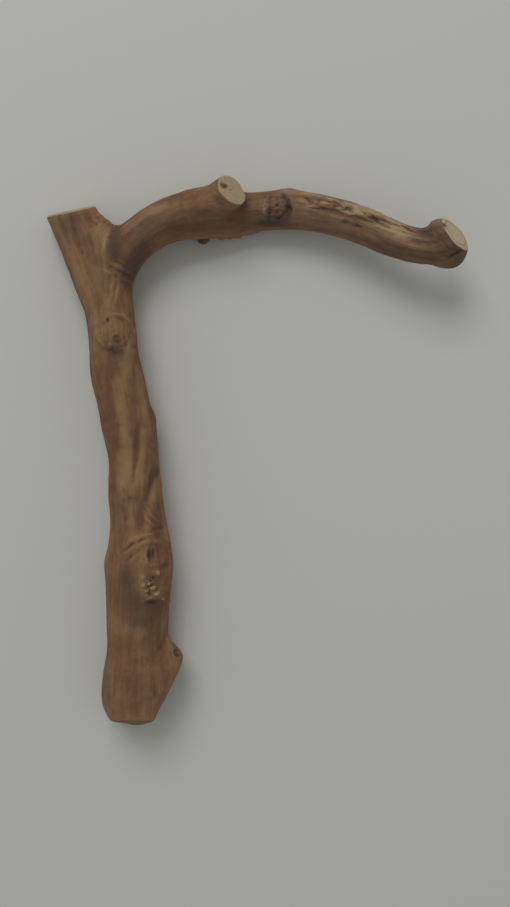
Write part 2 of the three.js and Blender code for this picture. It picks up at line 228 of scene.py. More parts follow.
def place_on(samples, points):
    """Where points lie on a limb: across, deep and along its heart, its run, and its girth.

    The weight of a sample is e to the power of minus (squared distance - least squared
    distance) / (2 step squared), and every value is the weighted mean over the samples.
    """
    heart = samples[:, HEART]
    apart = (points**2).sum(1)[:, None] + (heart**2).sum(1)[None] - 2 * points @ heart.T
    apart -= apart.min(1, keepdims=True)
    weight = np.exp((apart / (-2 * SAMPLE_STEP**2)).astype(np.float32))
    mean = (weight @ samples.astype(np.float32)) / weight.sum(1, keepdims=True)
    off = points - mean[:, HEART]
    across, deep, along = ((off * unit(mean[:, part])).sum(1) for part in (ACROSS, DEEP, ALONG))
    return across, deep, along, mean[:, RUN], mean[:, WIDE], mean[:, TALL]


def distance_to_limb(samples, points, flute_share):
    """About the distance to a fluted oval limb: (radius - 1) times the mean half-girth.

    The radius is 1 on the oval. Each flute adds height * cos(lobes * angle + turn).
    """
    across, deep, along, run, wide, tall = place_on(samples, points)
    radius = np.sqrt((across / wide) ** 2 + (deep / tall) ** 2 + (along / wide) ** 2)
    angle = np.arctan2(deep / tall, across / wide)
    flutes = sum(
        height * np.cos(lobes * angle + 2 * np.pi * run / pitch + start)
        for lobes, height, pitch, start in FLUTES
    )
    return (radius - 1) * (wide + tall) / 2 - flute_share * flutes * np.clip(radius, 0, 1) ** 2


def blend(first, second, width):
    """The smaller of two distances, with the valley between them filled over a width.

    Where they differ by less than width, (width - difference)^2 / (4 width) is taken off.
    """
    near = np.maximum(width - np.abs(first - second), 0)
    return np.minimum(first, second) - near**2 / (4 * width)


def trim(wood, plane, width):
    """Wood kept on the inner side of a plane, with the new edge worn round over a width."""
    return -blend(-wood, -plane, width)


probe = np.array([[-100.0, 0, 28], [-100, 0, 60]])
print("distance at the heart and above it:", distance_to_limb(leader, probe, 1.0).round(1))

# %% [markdown]
# ## Knots, hollows, ridges and saw cuts
#
# A knot is a swelling with a rotted eye in it. A ridge or groove is a line drawn as seen from
# above, on the upper or the lower face. Both only lift or sink the skin, so they are lists of
# places, widths and heights. A saw cut is a plane: the wood beyond it is gone, and its edge is
# a little worn.

# %% Swellings and seams
SWELLINGS = [  # centre, width, height
    ((-116, 107, 50), 13, 2.6),
    ((-98, 105, 27), 7, 1.2),
    ((-97.5, 90, 27), 3.5, -1.2),
    ((-84, 36, 27), 4.5, 1.4),
    ((-87, 50, 27), 6, -0.9),
    ((-85, -88, 54), 19, 4.2),
    ((-84, -78, 56), 5, -1.8),
    ((-84, -106, 54), 7, -2.6),
    ((-126, -87, 28), 9, 2),
    ((-108, 151, 49), 9, -2.8),
    ((-124, 176, 44), 9, 1.8),
    ((-22, 194, 10), 5, 2),
    ((29, 229, 22), 6, 2.2),
    ((20, 213, 35), 11, 2.5),
    ((20, 212, 37), 6, -2.2),
    ((47, 216, 38), 3.5, -1.4),
    ((77, 208, 44), 5, -1.8),
    ((139, 187, 56), 5, -1.8),
    ((148, 195, 53), 4.5, 3.2),
    ((-72.5, -152.5, 30), 2.6, 2.4),
    ((-129, 203, 26), 6, 3),
    ((-112, -20, 4), 12, -2),
    ((-112, -20, 3), 4, 2.5),
    ((96, 190, 14), 7, 1.5),
]
UPPER, LOWER = 1, -1
SEAMS = [  # face, width, height, path seen from above
    (UPPER, 5, 1.5, [(-107, 92), (-109, 62), (-110, 28)]),
    (UPPER, 4.5, -0.9, [(-100, 88), (-100.5, 58), (-97, 28), (-98, -10)]),
    (UPPER, 4, -1.0, [(-117, 97), (-119, 66), (-119.5, 30)]),
    (UPPER, 4, 1.2, [(-90, 26), (-91, 7), (-95, -13), (-101, -32)]),
    (UPPER, 5, -2.0, [(-74, 4), (-83, -14), (-88.5, -27), (-92, -41), (-95, -62)]),
    (UPPER, 4.5, 1.8, [(-78, -12), (-81.5, -28), (-82.5, -42), (-78, -56)]),
    (UPPER, 4, 1.2, [(-112, -80), (-102, -70), (-92, -65), (-81, -65), (-72, -72)]),
    (UPPER, 5, -1.2, [(-118, -20), (-116, -90), (-113, -160)]),
    (UPPER, 4.5, 1.6, [(-127, 200), (-124, 176), (-122, 150), (-122, 120)]),
    (UPPER, 4, 1.5, [(38, 220), (78, 213), (99, 204.5), (128, 190)]),
    (UPPER, 4, -1.2, [(62, 203), (86, 193.5), (118, 180)]),
    (LOWER, 5, -1.8, [(-98, -160), (-105, -60), (-108, 40), (-122, 120)]),
    (LOWER, 4, -1.2, [(-96, 199), (-36, 206)]),
]
PARTING_AT = [-70, -10, 30, 70, 110, 145, 170]
PARTING_LEVEL = [26, 17, 19, 26, 36, 45, 54]
SEAM_FADE = 10


def rise(value, start, end):
    """0 up to start, 1 from end on, and 3 f^2 - 2 f^3 in between, with f the part of the way."""
    f = np.clip((value - start) / (end - start), 0, 1)
    return f * f * (3 - 2 * f)


def peak(value, middle, width):
    """1 where a value meets its middle, falling off as e to the minus (gap / width)^2."""
    return np.exp(-(((value - middle) / width) ** 2))


def facing(points, face):
    """1 well up on the upper or lower face, and 0 past the line where the two faces part."""
    level = np.interp(points[:, 0], PARTING_AT, PARTING_LEVEL)
    return rise(face * (points[:, 2] - level), 0, SEAM_FADE)


def on_path(points, path, width):
    """1 on a drawn line seen from above, falling off as e to the minus (distance / width)^2.

    The line also fades at both ends: times the root of 1 - (2 f - 1)^4, with f how far along
    the line the nearest place lies.
    """
    path = np.array(path, float)
    lengths = np.linalg.norm(np.diff(path, axis=0), axis=1)
    nearest = np.full(len(points), np.inf)
    progress = np.zeros(len(points))
    for index, (start, end) in enumerate(zip(path, path[1:])):
        step = end - start
        part = np.clip((points[:, :2] - start) @ step / (step @ step), 0, 1)
        away = points[:, :2] - start - part[:, None] * step
        distance = np.hypot(away[:, 0], away[:, 1])
        closer = distance < nearest
        nearest = np.where(closer, distance, nearest)
        run = lengths[:index].sum() + part * lengths[index]
        progress = np.where(closer, run / lengths.sum(), progress)
    return peak(nearest, 0, width) * np.sqrt(1 - (2 * progress - 1) ** 4)


def relief(points):
    """How far swellings and seams lift the skin, each by height * e to the minus square."""
    height = np.zeros(len(points))
    for centre, width, top in SWELLINGS:
        apart = ((points - np.array(centre)) ** 2).sum(1)
        height += top * np.exp(-apart / (2 * width**2))
    for face, width, top, path in SEAMS:
        height += facing(points, face) * top * on_path(points, path, width)
    return height


print(len(SWELLINGS), "swellings and hollows,", len(SEAMS), "ridges and grooves")

# %% Saw cuts and the whole wood
CUTS = {  # a point on the cut, the way the sawn face looks, how far it reaches, how fresh it is
    "leader": ((-158, 212.5, 20), (-0.21, 0.98, 0.34), 27, 0.8),
    # The foot's face is given a low freshness, so it is dark: weathering, and also painted shade.
    "foot": ((-104.4, -225.2, 27), (0.02, -1, 0.36), 60, 0.35),
    "heel": ((-73.4, -195.8, 27), (0.881, -0.473, -0.1), 60, 0.15),
    "corner": ((-124.6, -218, 27), (-0.68, -0.73, 0.1), 30, 0.1),
    "twig": ((-17.5, 222.5, 48.5), (0.61, 0.37, 0.70), 21, 1.0),
    "branch": ((166, 185, 54), (0.66, 0.48, 0.578), 30, 1.25),
}
CUT_WEAR = 1.6
CORNER_WEAR = 8.0
SINK_PAST_REACH = 1.5
LUMPS = [  # centre, radius, and the width over which it flows into the rest
    ((-77, -172, 27), 16.6, 7),
    ((-87, -186, 29), 23, 12),
    ((161, 173, 47), 15.5, 6),
    ((-126, 180, 25), 19, 10),
    ((-44, 191.4, 13), 5.4, 2),
]
LEADER_FLUTES, BRANCH_FLUTES, TWIG_FLUTES = 1.0, 0.8, 0.5
FORK_BLEND, TWIG_BLEND = 11, 9


def beyond(points, cut):
    """Signed distance past a saw cut's plane, positive where the wood is gone.

    Past the cut's reach the distance sinks, so that the plane doesn't slice other limbs.
    """
    at, faces, reach, _ = CUTS[cut]
    off = points - np.array(at)
    past_reach = np.maximum(np.linalg.norm(off, axis=1) - reach, 0)
    return off @ unit(np.array(faces)) - SINK_PAST_REACH * past_reach


def distance_unsawn(points):
    """The three limbs, their lumps and their relief in one distance, before any cut."""
    stem = distance_to_limb(leader, points, LEADER_FLUTES)
    arm = distance_to_limb(branch, points, BRANCH_FLUTES)
    stub = distance_to_limb(twig, points, TWIG_FLUTES)
    wood = blend(blend(stem, arm, FORK_BLEND), stub, TWIG_BLEND)
    for centre, radius, width in LUMPS:
        lump = np.linalg.norm(points - np.array(centre), axis=1) - radius
        wood = blend(wood, lump, width)
    return wood - relief(points)


def distance_to_wood(points):
    """The unsawn wood, less what lies past each cut and below the floor."""
    wood = distance_unsawn(points)
    for cut in CUTS:
        wood = trim(wood, beyond(points, cut), CORNER_WEAR if cut == "corner" else CUT_WEAR)
    return np.maximum(wood, -points[:, 2])


CHUNK = 60000


def in_chunks(function, points):
    """A function of points worked out in pieces that fit in memory."""
    parts = [function(points[i : i + CHUNK]) for i in range(0, len(points), CHUNK)]
    return np.concatenate(parts)


mid_branch = np.array([[0, 214.0, 18]])
print("distance at the middle of the branch:", distance_to_wood(mid_branch).round(1))

# %% [markdown]
# ## From a distance to a skin
#
# A forked body isn't one grid of rows and columns, so its mesh comes from the distance itself.
# A lattice of cubes is laid over the wood. Each cube that the skin passes through gets one
# vertex, at the mean of the points where the skin crosses the cube's edges. Each lattice edge
# that the skin crosses gets one quad, from the four cubes round that edge. The result is an
# even net of quads with no seam anywhere.
#
# Most of the lattice is far from the skin, so the distance is worked out on every fourth point
# first and filled in between by straight lines. Only a band near the skin is worked out fully.

# %% The lattice
FINE_CELL, QUICK_CELL = 1.5, 2.6
CELL = FINE_CELL
COARSE = 4
LATTICE_FROM = np.array([-188.0, -240, -6])
LATTICE_TO = np.array([188.0, 246, 78])
BAND = 1.8 * CELL + 2.6
JUST_INSIDE = -0.001
PINCH_ROUNDS = 4


def sampled_distance():
    """Distances on the lattice: coarse ones stretched linearly, then true ones in the band."""
    blocks = np.ceil((LATTICE_TO - LATTICE_FROM) / (COARSE * CELL)).astype(int)
    axes = [LATTICE_FROM[i] + COARSE * CELL * np.arange(blocks[i] + 1) for i in range(3)]
    points = np.stack(np.meshgrid(*axes, indexing="ij"), -1).reshape(-1, 3)
    values = in_chunks(distance_to_wood, points).reshape(blocks + 1)
    for axis in range(3):
        place = np.arange(COARSE * blocks[axis] + 1) / COARSE
        low = np.minimum(place.astype(int), blocks[axis] - 1)
        part = (place - low).reshape([-1 if i == axis else 1 for i in range(3)])
        values = values.take(low, axis) * (1 - part) + values.take(low + 1, axis) * part
    band = np.abs(values) < BAND
    values[band] = in_chunks(distance_to_wood, LATTICE_FROM + CELL * np.argwhere(band))
    return values


def fill_pinches(values):
    """Distances without squares whose corners are in, out, in, out of the wood by turns.

    There the skin would touch itself along a line, so one outer corner is taken into the wood.
    """
    for _ in range(PINCH_ROUNDS):
        for one, two in ((0, 1), (1, 2), (2, 0)):
            inside = values < 0
            beside, above = np.roll(inside, -1, one), np.roll(inside, -1, two)
            across = np.roll(beside, -1, two)
            pinched = (inside == across) & (beside == above) & (inside != beside)
            corner = np.argwhere(pinched)
            corner[inside[pinched], one] += 1
            values[tuple(corner.T)] = JUST_INSIDE
    return values


lattice = fill_pinches(sampled_distance())
print("lattice of", " x ".join(map(str, lattice.shape)), "points")

# %% Vertices and quads
CORNERS = np.array([(i, j, k) for i in (0, 1) for j in (0, 1) for k in (0, 1)])


def cube_vertices(values):
    """One vertex in each cube that the skin crosses: the mean of its crossed edges' points.

    On an edge from value u to value v the crossing lies at the part u / (u - v) of the edge.
    """
    inside = (values < 0).astype(np.int8)
    wet = sum(np.roll(inside, tuple(-corner), (0, 1, 2)) for corner in CORNERS)
    cubes = np.argwhere((wet > 0) & (wet < len(CORNERS)))
    total = np.zeros((len(cubes), 3))
    crossings = np.zeros(len(cubes))
    for axis in range(3):
        for start in CORNERS[CORNERS[:, axis] == 0]:
            end = start + np.eye(3, dtype=int)[axis]
            before = values[tuple((cubes + start).T)]
            after = values[tuple((cubes + end).T)]
            crossed = (before < 0) != (after < 0)
            part = np.where(crossed, before, 0) / np.where(crossed, before - after, 1)
            total += crossed[:, None] * (start + part[:, None] * (end - start))
            crossings += crossed
    number = np.full(values.shape, -1)
    number[tuple(cubes.T)] = np.arange(len(cubes))
    return LATTICE_FROM + CELL * (cubes + total / crossings[:, None]), number


def edge_quads(values, number):
    """One quad round each crossed lattice edge, wound so that it faces out of the wood."""
    inside = values < 0
    quads = []
    for axis in range(3):
        one, two = (axis + 1) % 3, (axis + 2) % 3
        crossed = np.argwhere(inside != np.roll(inside, -1, axis))
        ring = []
        for back_one, back_two in ((1, 1), (0, 1), (0, 0), (1, 0)):
            cube = crossed.copy()
            cube[:, one] -= back_one
            cube[:, two] -= back_two
            ring.append(number[tuple(cube.T)])
        quad = np.stack(ring, 1)
        inward = ~inside[tuple(crossed.T)]
        quad[inward] = quad[inward][:, ::-1]
        quads.append(quad)
    return np.vstack(quads)


verts, cube_number = cube_vertices(lattice)
quads = edge_quads(lattice, cube_number)
print(len(verts), "vertices,", len(quads), "quads")

# %% [markdown]
# Knots, wrinkles and beetle galleries are smaller than the cells. Round those places each quad
# is split into four, and the quads at the rim of such a patch become fans of triangles, so
# that the mesh stays closed.

# %% Finer patches
PATCHES = [  # centre and radius of a ball of finer mesh
    ((-115, 107, 50), 19), ((-88, -74, 54), 21), ((-86, -105, 54), 20), ((-108, 152, 48), 20),
    ((-122, 186, 42), 15), ((-86, -42, 54), 14), ((-105, -38, 53), 12), ((-66, -160, 32), 12),
    ((20, 213, 32), 15), ((48, 216, 36), 13), ((70, 210, 40), 14), ((90, 202, 46), 14),
    ((112, 193, 51), 13), ((134, 186, 55), 12), ((158, 184, 54), 21), ((-20, 222, 48), 17),
    ((-44, 188, 14), 8), ((-26, 194, 10), 12),
]


def split_patches(verts, quads):
    """Splits the quads inside the patches in four; returns vertices, quads and triangles."""
    inside = np.zeros(len(verts), bool)
    for centre, radius in PATCHES:
        inside |= np.linalg.norm(verts - np.array(centre), axis=1) < radius
    marked = inside[quads].all(1)
    after = np.roll(quads, -1, 1)
    key = np.minimum(quads, after) * len(verts) + np.maximum(quads, after)
    split = np.unique(key[marked])
    has_middle = np.isin(key, split)
    middle = len(verts) + np.searchsorted(split, key)
    touched = has_middle.any(1)
    centre = np.full(len(quads), -1)
    centre[touched] = len(verts) + len(split) + np.arange(touched.sum())
    middles = (verts[split // len(verts)] + verts[split % len(verts)]) / 2
    new_verts = np.vstack([verts, middles, verts[quads[touched]].mean(1)])
    rim = touched & ~marked
    fours, threes = [quads[~touched]], []
    for i in range(4):
        corner, side, back = quads[:, i], middle[:, i], middle[:, i - 1]
        fours.append(np.stack([corner, side, centre, back], 1)[marked])
        cut, whole = rim & has_middle[:, i], rim & ~has_middle[:, i]
        threes.append(np.stack([corner, side, centre], 1)[cut])
        threes.append(np.stack([side, after[:, i], centre], 1)[cut])
        threes.append(np.stack([corner, after[:, i], centre], 1)[whole])
    return new_verts, np.vstack(fours), np.vstack(threes)


verts, quads, triangles = split_patches(verts, quads)
print(len(quads), "quads and", len(triangles), "triangles")
print("in triangles alone:", 2 * len(quads) + len(triangles))

# %% [markdown]
# The mean of the crossings cuts corners a little, so every vertex now slides down the slope of
# the distance onto the true skin. The slope comes from small steps along each axis. It is also
# the direction that the skin faces, which the fine relief needs next.

# %% Settling on the skin
NUDGE = 0.4
LONGEST_SLIDE = 0.6
TINY = 1e-9


def slope_at(points, value):
    """The distance's slope along x, y and z, each (value a nudge further - value) / nudge."""
    further = [in_chunks(distance_to_wood, points + NUDGE * axis) for axis in np.eye(3)]
    return (np.stack(further, 1) - value[:, None]) / NUDGE


def slid(points, value, slope):
    """Points moved by -value * slope / slope^2, at most the longest slide."""
    slide = -(value / (slope**2).sum(1))[:, None] * slope
    length = np.linalg.norm(slide, axis=1, keepdims=True)
    return points + slide * np.minimum(1, LONGEST_SLIDE / np.maximum(length, TINY))


value = in_chunks(distance_to_wood, verts)
slope = slope_at(verts, value)
surface_normal = unit(slope)
verts = slid(verts, value, slope)
verts = slid(verts, in_chunks(distance_to_wood, verts), slope)
print("distance before sliding: up to", np.abs(value).max().round(2), "mm")

# %% [markdown]
# ## Where the fibres run
#
# Grain follows the limbs. Each vertex gets its grain place: how far across and deep it lies
# from the heart, and its run from the foot. Near the fork the leader's and the branch's places
# are mixed by how much nearer the vertex is to one of them, so the streaks bend from the stem
# into the branch as real fibres do.

# %% Grain places
GRAIN_MIX = 9.0


def grain_on(samples, points):
    """Across, deep and run for each point, as measured from one limb's heart."""
    across, deep, _, run, _, _ = place_on(samples, points)
    return np.stack([across, deep, run], 1)


def grain_places(points):
    """The leader's and the branch's places, mixed over a few mm where the two are as near."""
    gap = distance_to_limb(leader, points, 0) - distance_to_limb(branch, points, 0)
    share = rise(gap, -GRAIN_MIX, GRAIN_MIX)[:, None]
    return grain_on(leader, points) * (1 - share) + grain_on(branch, points) * share


grain = in_chunks(grain_places, verts)
print("run of the fibres:", grain[:, 2].min().round(), "to", grain[:, 2].max().round(), "mm")

# %% [markdown]
# ## Fine relief
#
# Water and sand wear the soft early wood faster than the hard late wood, so the skin has fine
# ridges along the grain, and wrinkles where fibres crowd round a knot. The height of all that
# is worked out at each vertex, and the vertex moves that far along the direction it faces.
#
# Random wear comes from value noise: a table of random numbers on a lattice, blended smoothly
# in between. It is stretched along the grain by squeezing the run before the lookup.

# %% Noise in numpy
TABLE_SIZE = 64
SEED = 7
LAYERS = 3
LAYER_SHIFT = 11.3
GRAIN_SHIFT = 20
random_table = np.random.default_rng(SEED).random((TABLE_SIZE,) * 3)


def noise(places):
    """Smooth noise from 0 to 1: the eight table values round a place, blended by 3f^2 - 2f^3."""
    low = np.floor(places).astype(int)
    f = places - low
    f = f * f * (3 - 2 * f)
    total = np.zeros(len(places))
    for corner in CORNERS:
        weight = np.where(corner, f, 1 - f).prod(1)
        total += weight * random_table[tuple(((low + corner) % TABLE_SIZE).T)]
    return total


def layered(places):
    """Noise plus half as much at twice the fineness, and so on, brought back to 0 to 1."""
    total = sum(noise(places * 2**i + LAYER_SHIFT * i) / 2**i for i in range(LAYERS))
    return total / sum(1 / 2**i for i in range(LAYERS))


def clouds(size, shift):
    """Layered noise in blobs about size mm wide; each shift takes another part of the table."""
    return layered(verts / size + shift)


def along_grain(size, stretch):
    """Noise places in grain space: one step is size mm across and size * stretch mm along."""
    return grain / np.array([size, size, size * stretch]) + GRAIN_SHIFT


print("noise at three vertices:", noise(along_grain(4, 12))[:3].round(2))

# %% Shapes for knots and wrinkles
on_top, underneath = facing(verts, UPPER), facing(verts, LOWER)
WOBBLE = 3.4
wobble = np.stack([clouds(6, shift) for shift in (50, 80)], 1) - 0.5
drawn = verts[:, :2] + WOBBLE * wobble
breaks = np.clip(2.6 * clouds(4, 60) - 0.4, 0.15, 1.6)


def spot(x, y, radius, squash=1.0, tilt=0.0):
    """1 at a place on the upper face, falling off as e to the minus (distance / radius)^2.

    squash lengthens the spot along its own y axis, which is turned by tilt in radians.
    """
    right = (drawn[:, 0] - x) * np.cos(tilt) + (drawn[:, 1] - y) * np.sin(tilt)
    up = (drawn[:, 1] - y) * np.cos(tilt) - (drawn[:, 0] - x) * np.sin(tilt)
    return on_top * np.exp(-(right**2 + (up / squash) ** 2) / radius**2)


def rings(x, y, radius, spacing, warp=1.5):
    """Wrinkles round a place: a cosine of the warped distance, fading out past the radius."""
    apart = np.hypot(verts[:, 0] - x, verts[:, 1] - y)
    bent = apart + warp * (clouds(6, 5) - 0.5) * 4
    fade = 1 - rise(apart, 0.6 * radius, radius)
    return on_top * fade * np.cos(2 * np.pi * bent / spacing)


def blob(points, centre, radius):
    """1 at a centre, falling off all round as e to the minus (distance / radius)^2."""
    return np.exp(-((points - np.array(centre)) ** 2).sum(1) / radius**2)


def trail(path, width, face=UPPER):
    """A wobbly, broken line on one face: about 1 on it, fading to its sides and its ends."""
    return (on_top if face == UPPER else underneath) * breaks * on_path(drawn, path, width)


def all_lines(rows, line=trail):
    """Rows of path, width and height drawn with one kind of line and added up."""
    return sum(height * line(path, width) for path, width, height in rows)


print("vertices on the upper face:", int((on_top > 0.5).sum()))

# %% [markdown]
# Each kind of relief is a small function that returns a height in millimetres. They are added
# up, and none of them touches the sawn faces, which stay flat as the saw left them. Only the
# rotted pith and a few beetle holes go into those.

# %% Wear along the grain
def grain_wear():
    """Broad waves, sharp-crested ridges and fine ridges, all stretched along the grain."""
    waves = 1.3 * (layered(along_grain(15, 4)) - 0.5)
    crests = 1 - np.abs(2 * noise(along_grain(7, 10)) - 1)
    fine = noise(along_grain(2.8, 10)) - 0.5
    dents = clouds(8, 40) - 0.5
    return waves + 0.28 * (crests - 0.5) + 0.22 * fine + 0.8 * dents


print("wear along the grain spans", np.ptp(grain_wear()).round(2), "mm")

# %% Stem knots
UPPER_RIMS = [  # path, width, height
    ([(-125, 111), (-121, 118.5), (-115, 120.5), (-107.5, 119), (-101.5, 111)], 1.4, 0.7),
    ([(-121, 111), (-119, 115.5), (-113, 116.5), (-107, 114.5), (-104, 107)], 1.4, -0.5),
    ([(-102, 113), (-99.5, 104), (-101, 96), (-107, 89)], 1.8, 0.7),
    ([(-104, 107), (-103.5, 100), (-106, 93)], 1.6, -0.7),
    ([(-127, 117), (-130.5, 108), (-128.5, 97), (-121, 89)], 2.4, 0.9),
    ([(-123, 113), (-126.5, 107), (-125, 99)], 2.2, -0.6),
    ([(-124, 93), (-115, 87), (-106, 89)], 2.8, -0.9),
    ([(-93, 92), (-101, 95), (-106.5, 90), (-108, 80)], 2.0, -0.8),
]
BUTTON_AT = (-112.9, 98)


def upper_knot():
    """A round knot: rims round it, a small swirled button low in it, and a hole."""
    apart = np.hypot(*(drawn - BUTTON_AT).T)
    button = on_top * (0.8 * peak(apart, 4.6, 1.3) - 0.5 * peak(apart, 0, 2.2))
    swirl = 0.14 * rings(-113, 103, 14, 4.6)
    hole = -1.3 * spot(-119.9, 114, 1.3, squash=1.4)
    return all_lines(UPPER_RIMS) + button + swirl + hole


CRUMBS = [  # place, size, and how pale
    (-79.6, -93.2, 2.0, 1.3), (-85.3, -102.4, 1.3, 1.2), (-82.0, -106.4, 1.6, 1.3),
    (-80.3, -111.6, 1.9, 1.3), (-86.5, -114.4, 1.3, 0.8), (-76, -116.5, 1.1, 1.2),
    (-90.5, -97.5, 1.6, 0.4), (-90.0, -103.0, 1.7, 0.5), (-88.8, -108.0, 1.5, 0.6),
    (-84, -113.6, 1.3, 1.0), (-86, -107.5, 1.2, 0.7), (-83.6, -98.8, 1.0, 0.6),
    (-88, -112, 1.2, 0.6),
]
CRUMB_WIDTH = 0.85  # of its size
SPLINTER_SIZE = np.array([1.3, 5, 5])
BROWS = [  # path, width, height
    ([(-106, -71), (-97.6, -64.5), (-91, -62), (-80, -61.5)], 1.5, 0.7),
    ([(-110, -78), (-101.2, -70.3), (-95.3, -67.2), (-86, -64.5)], 1.1, -0.9),
    ([(-108, -80), (-99.3, -73), (-92.7, -69.5), (-85, -67.5), (-77, -69)], 1.4, 0.6),
    ([(-105, -85), (-99, -78.5), (-93, -74)], 1.2, -0.6),
    ([(-103, -88), (-97, -80), (-91, -76)], 1.4, 0.4),
    ([(-81, -61), (-75, -61.5), (-68, -60.5)], 1.2, 0.6),
    ([(-80, -66), (-74.5, -72), (-74, -80), (-77, -88)], 1.6, 0.7),
    ([(-82, -68), (-78, -74), (-78.5, -82)], 1.2, -0.6),
    ([(-76, -66), (-71, -73), (-71, -81)], 1.3, -0.5),
    ([(-87.5, -71), (-88.6, -78), (-87, -86)], 1.2, 0.7),
    ([(-86, -85.5), (-82.5, -87), (-79, -85)], 1.2, 0.8),
    ([(-70, -84), (-73, -88), (-76, -92)], 2.0, -0.7),
]


def lower_knot():
    """Brow wrinkles over a rotted eye, and a ragged cavity with crumbs of pale wood in it."""
    splinters = noise(verts / SPLINTER_SIZE) - 0.5
    eye = (-1.9 + 3.4 * splinters) * spot(-84.2, -78, 3.1, squash=2.0, tilt=-0.1)
    rough = clouds(1.5, 3) - 0.5
    cavity = (-1.5 + 3.6 * rough) * spot(-84.5, -104, 4.6, squash=2.1, tilt=0.2)
    pockets = -1.7 * spot(-82.8, -98.5, 1.9) - 1.4 * spot(-82.5, -118, 4.5, squash=0.4)
    crumbs = sum(1.5 * spot(x, y, CRUMB_WIDTH * size) for x, y, size, _ in CRUMBS)
    return all_lines(BROWS) + eye + cavity + pockets + crumbs


print("knots span", np.ptp(upper_knot()).round(1), "and", np.ptp(lower_knot()).round(1), "mm")

# %% Fork, valley and heel
STRANDS = [  # path, width, height
    ([(-116.5, 156), (-117.6, 140), (-119, 122)], 1.2, 0.45),
    ([(-114.5, 154), (-115.6, 138), (-117, 124)], 1.3, -0.35),
    ([(-111.8, 154), (-114, 138), (-116.5, 122)], 1.2, 0.4),
    ([(-108.5, 150), (-111, 137), (-114, 124)], 1.3, 0.3),
    ([(-125, 157.5), (-121.5, 154.5), (-117, 153)], 1.3, 0.5),
    ([(-119, 163), (-110, 158), (-99, 152.5)], 1.4, 0.55),
    ([(-114, 166), (-107, 161.5), (-98, 156)], 1.3, 0.5),
    ([(-120, 160), (-111, 155), (-101, 149.5)], 1.5, -0.55),
    ([(-118, 153), (-111, 149), (-104, 145)], 1.5, -0.4),
    ([(-112, 152), (-105, 149), (-98, 147)], 1.4, 0.4),
    ([(-108, 146), (-102, 144.5), (-97, 145)], 1.6, -0.5),
    ([(-120, 198), (-123, 184), (-125.5, 168)], 3.0, 0.6),
    ([(-116, 195), (-118.5, 182), (-119.5, 166)], 3.4, -0.8),
]


def fork_wrinkles():
    """Fibres crowd in the crook: short ridges across it, and long ones running down from it."""
    crook = 0.2 * rings(-92, 166, 34, 5.2, warp=2.4) * spot(-106, 153, 12)
    return crook + all_lines(STRANDS)


VALLEY_LINES = [  # path, width, height
    ([(-82, -14), (-84.5, -26), (-87, -38)], 1.6, 0.4),
    ([(-90.5, -43), (-87.5, -50), (-83.7, -55), (-77, -57.5)], 1.3, 0.45),
    ([(-88.6, -38), (-85, -47), (-79, -52.5)], 1.3, 0.45),
    ([(-86, -36), (-82.5, -43), (-77, -47)], 1.3, 0.3),
    ([(-89.5, -40.5), (-86, -48.5), (-81, -53.8)], 1.2, -0.35),
]


def valley():
    """The rib to the right of the crease down the lower stem, and the fibres curling off it."""
    return all_lines(VALLEY_LINES)


def heel_and_shoulder():
    """The knobbly heel with its dark cleft, and the splintered shoulder beside the leader."""
    knobs = 0.9 * spot(-62, -163, 4.0) + 1.2 * spot(-70, -152.5, 2.6) + 0.7 * spot(-66, -158, 3)
    cleft = -1.5 * trail([(-68.5, -157), (-66, -160), (-65.5, -163.5), (-62, -166)], 1.2)
    splinters = 5.5 * (clouds(3.4, 9) - 0.5) * blob(verts, (-124, 199, 28), 11)
    return knobs + cleft + splinters


print("fork", np.ptp(fork_wrinkles()).round(1), "mm, valley", np.ptp(valley()).round(1), "mm")

# %% Branch
DARK_KNOT = (20.5, 212)
SAWN_END = (168, 188)


def dark_knot():
    """A rough grey core in a sunken ring, with a raised collar on its left."""
    x, y = DARK_KNOT
    core = np.hypot((verts[:, 0] - x) / 1.1, verts[:, 1] - y) + 9 * (clouds(5, 23) - 0.5)
    ring = -1.1 * on_top * peak(core, 8, 2.2)
    collar = 0.9 * on_top * peak(core, 11.8, 2.0) * rise(-verts[:, 0], -18, -8)
    crevice = -1.6 * trail([(26, 224), (28.5, 218), (29.5, 206)], 1.8)
    rough = clouds(2.8, 17) - 0.5
    return ring + collar + crevice + 4.2 * rough * spot(x, y, 8)


def gallery_ground():
    """Where beetles worked: along the branch's upper side, past the dark knot."""
    shown = on_top * rise(verts[:, 0], 32, 46) * (1 - rise(verts[:, 0], 118, 152))
    return shown * rise(grain[:, 0], -16, -11) * (1 - rise(grain[:, 0], -1, 5))


wander = layered(along_grain(4.4, 4.5))
PLATES = [  # path, width, height
    ([(55, 214.5), (61, 213), (67, 210.5)], 2.6, 1.1),
    ([(72, 215), (86, 210), (99, 204.5), (112, 198), (127, 191)], 2.4, 1.3),
    ([(63, 202.5), (74, 199.5), (86, 194)], 2.0, 0.9),
    ([(68, 200), (80, 196.2), (92, 191.5)], 1.3, -1.0),
    ([(40, 220.5), (56, 219), (70, 216.5)], 2.0, 0.8),
    ([(44, 218.5), (50, 216)], 2.2, -1.2),
    ([(73, 209.8), (78, 208), (84, 205)], 2.4, -1.6),
    ([(88, 205), (96, 201), (104, 196.5)], 1.6, -0.9),
    ([(52, 209), (60, 207.5), (66, 206)], 1.6, -0.9),
]


def galleries():
    """Ragged grooves where stretched noise is high, thin ones round one value, and plates."""
    ragged = rise(wander, 0.48, 0.58)
    groove = peak(wander, 0.42, 0.022)
    return all_lines(PLATES) - (1.2 * ragged + 0.6 * groove) * gallery_ground()


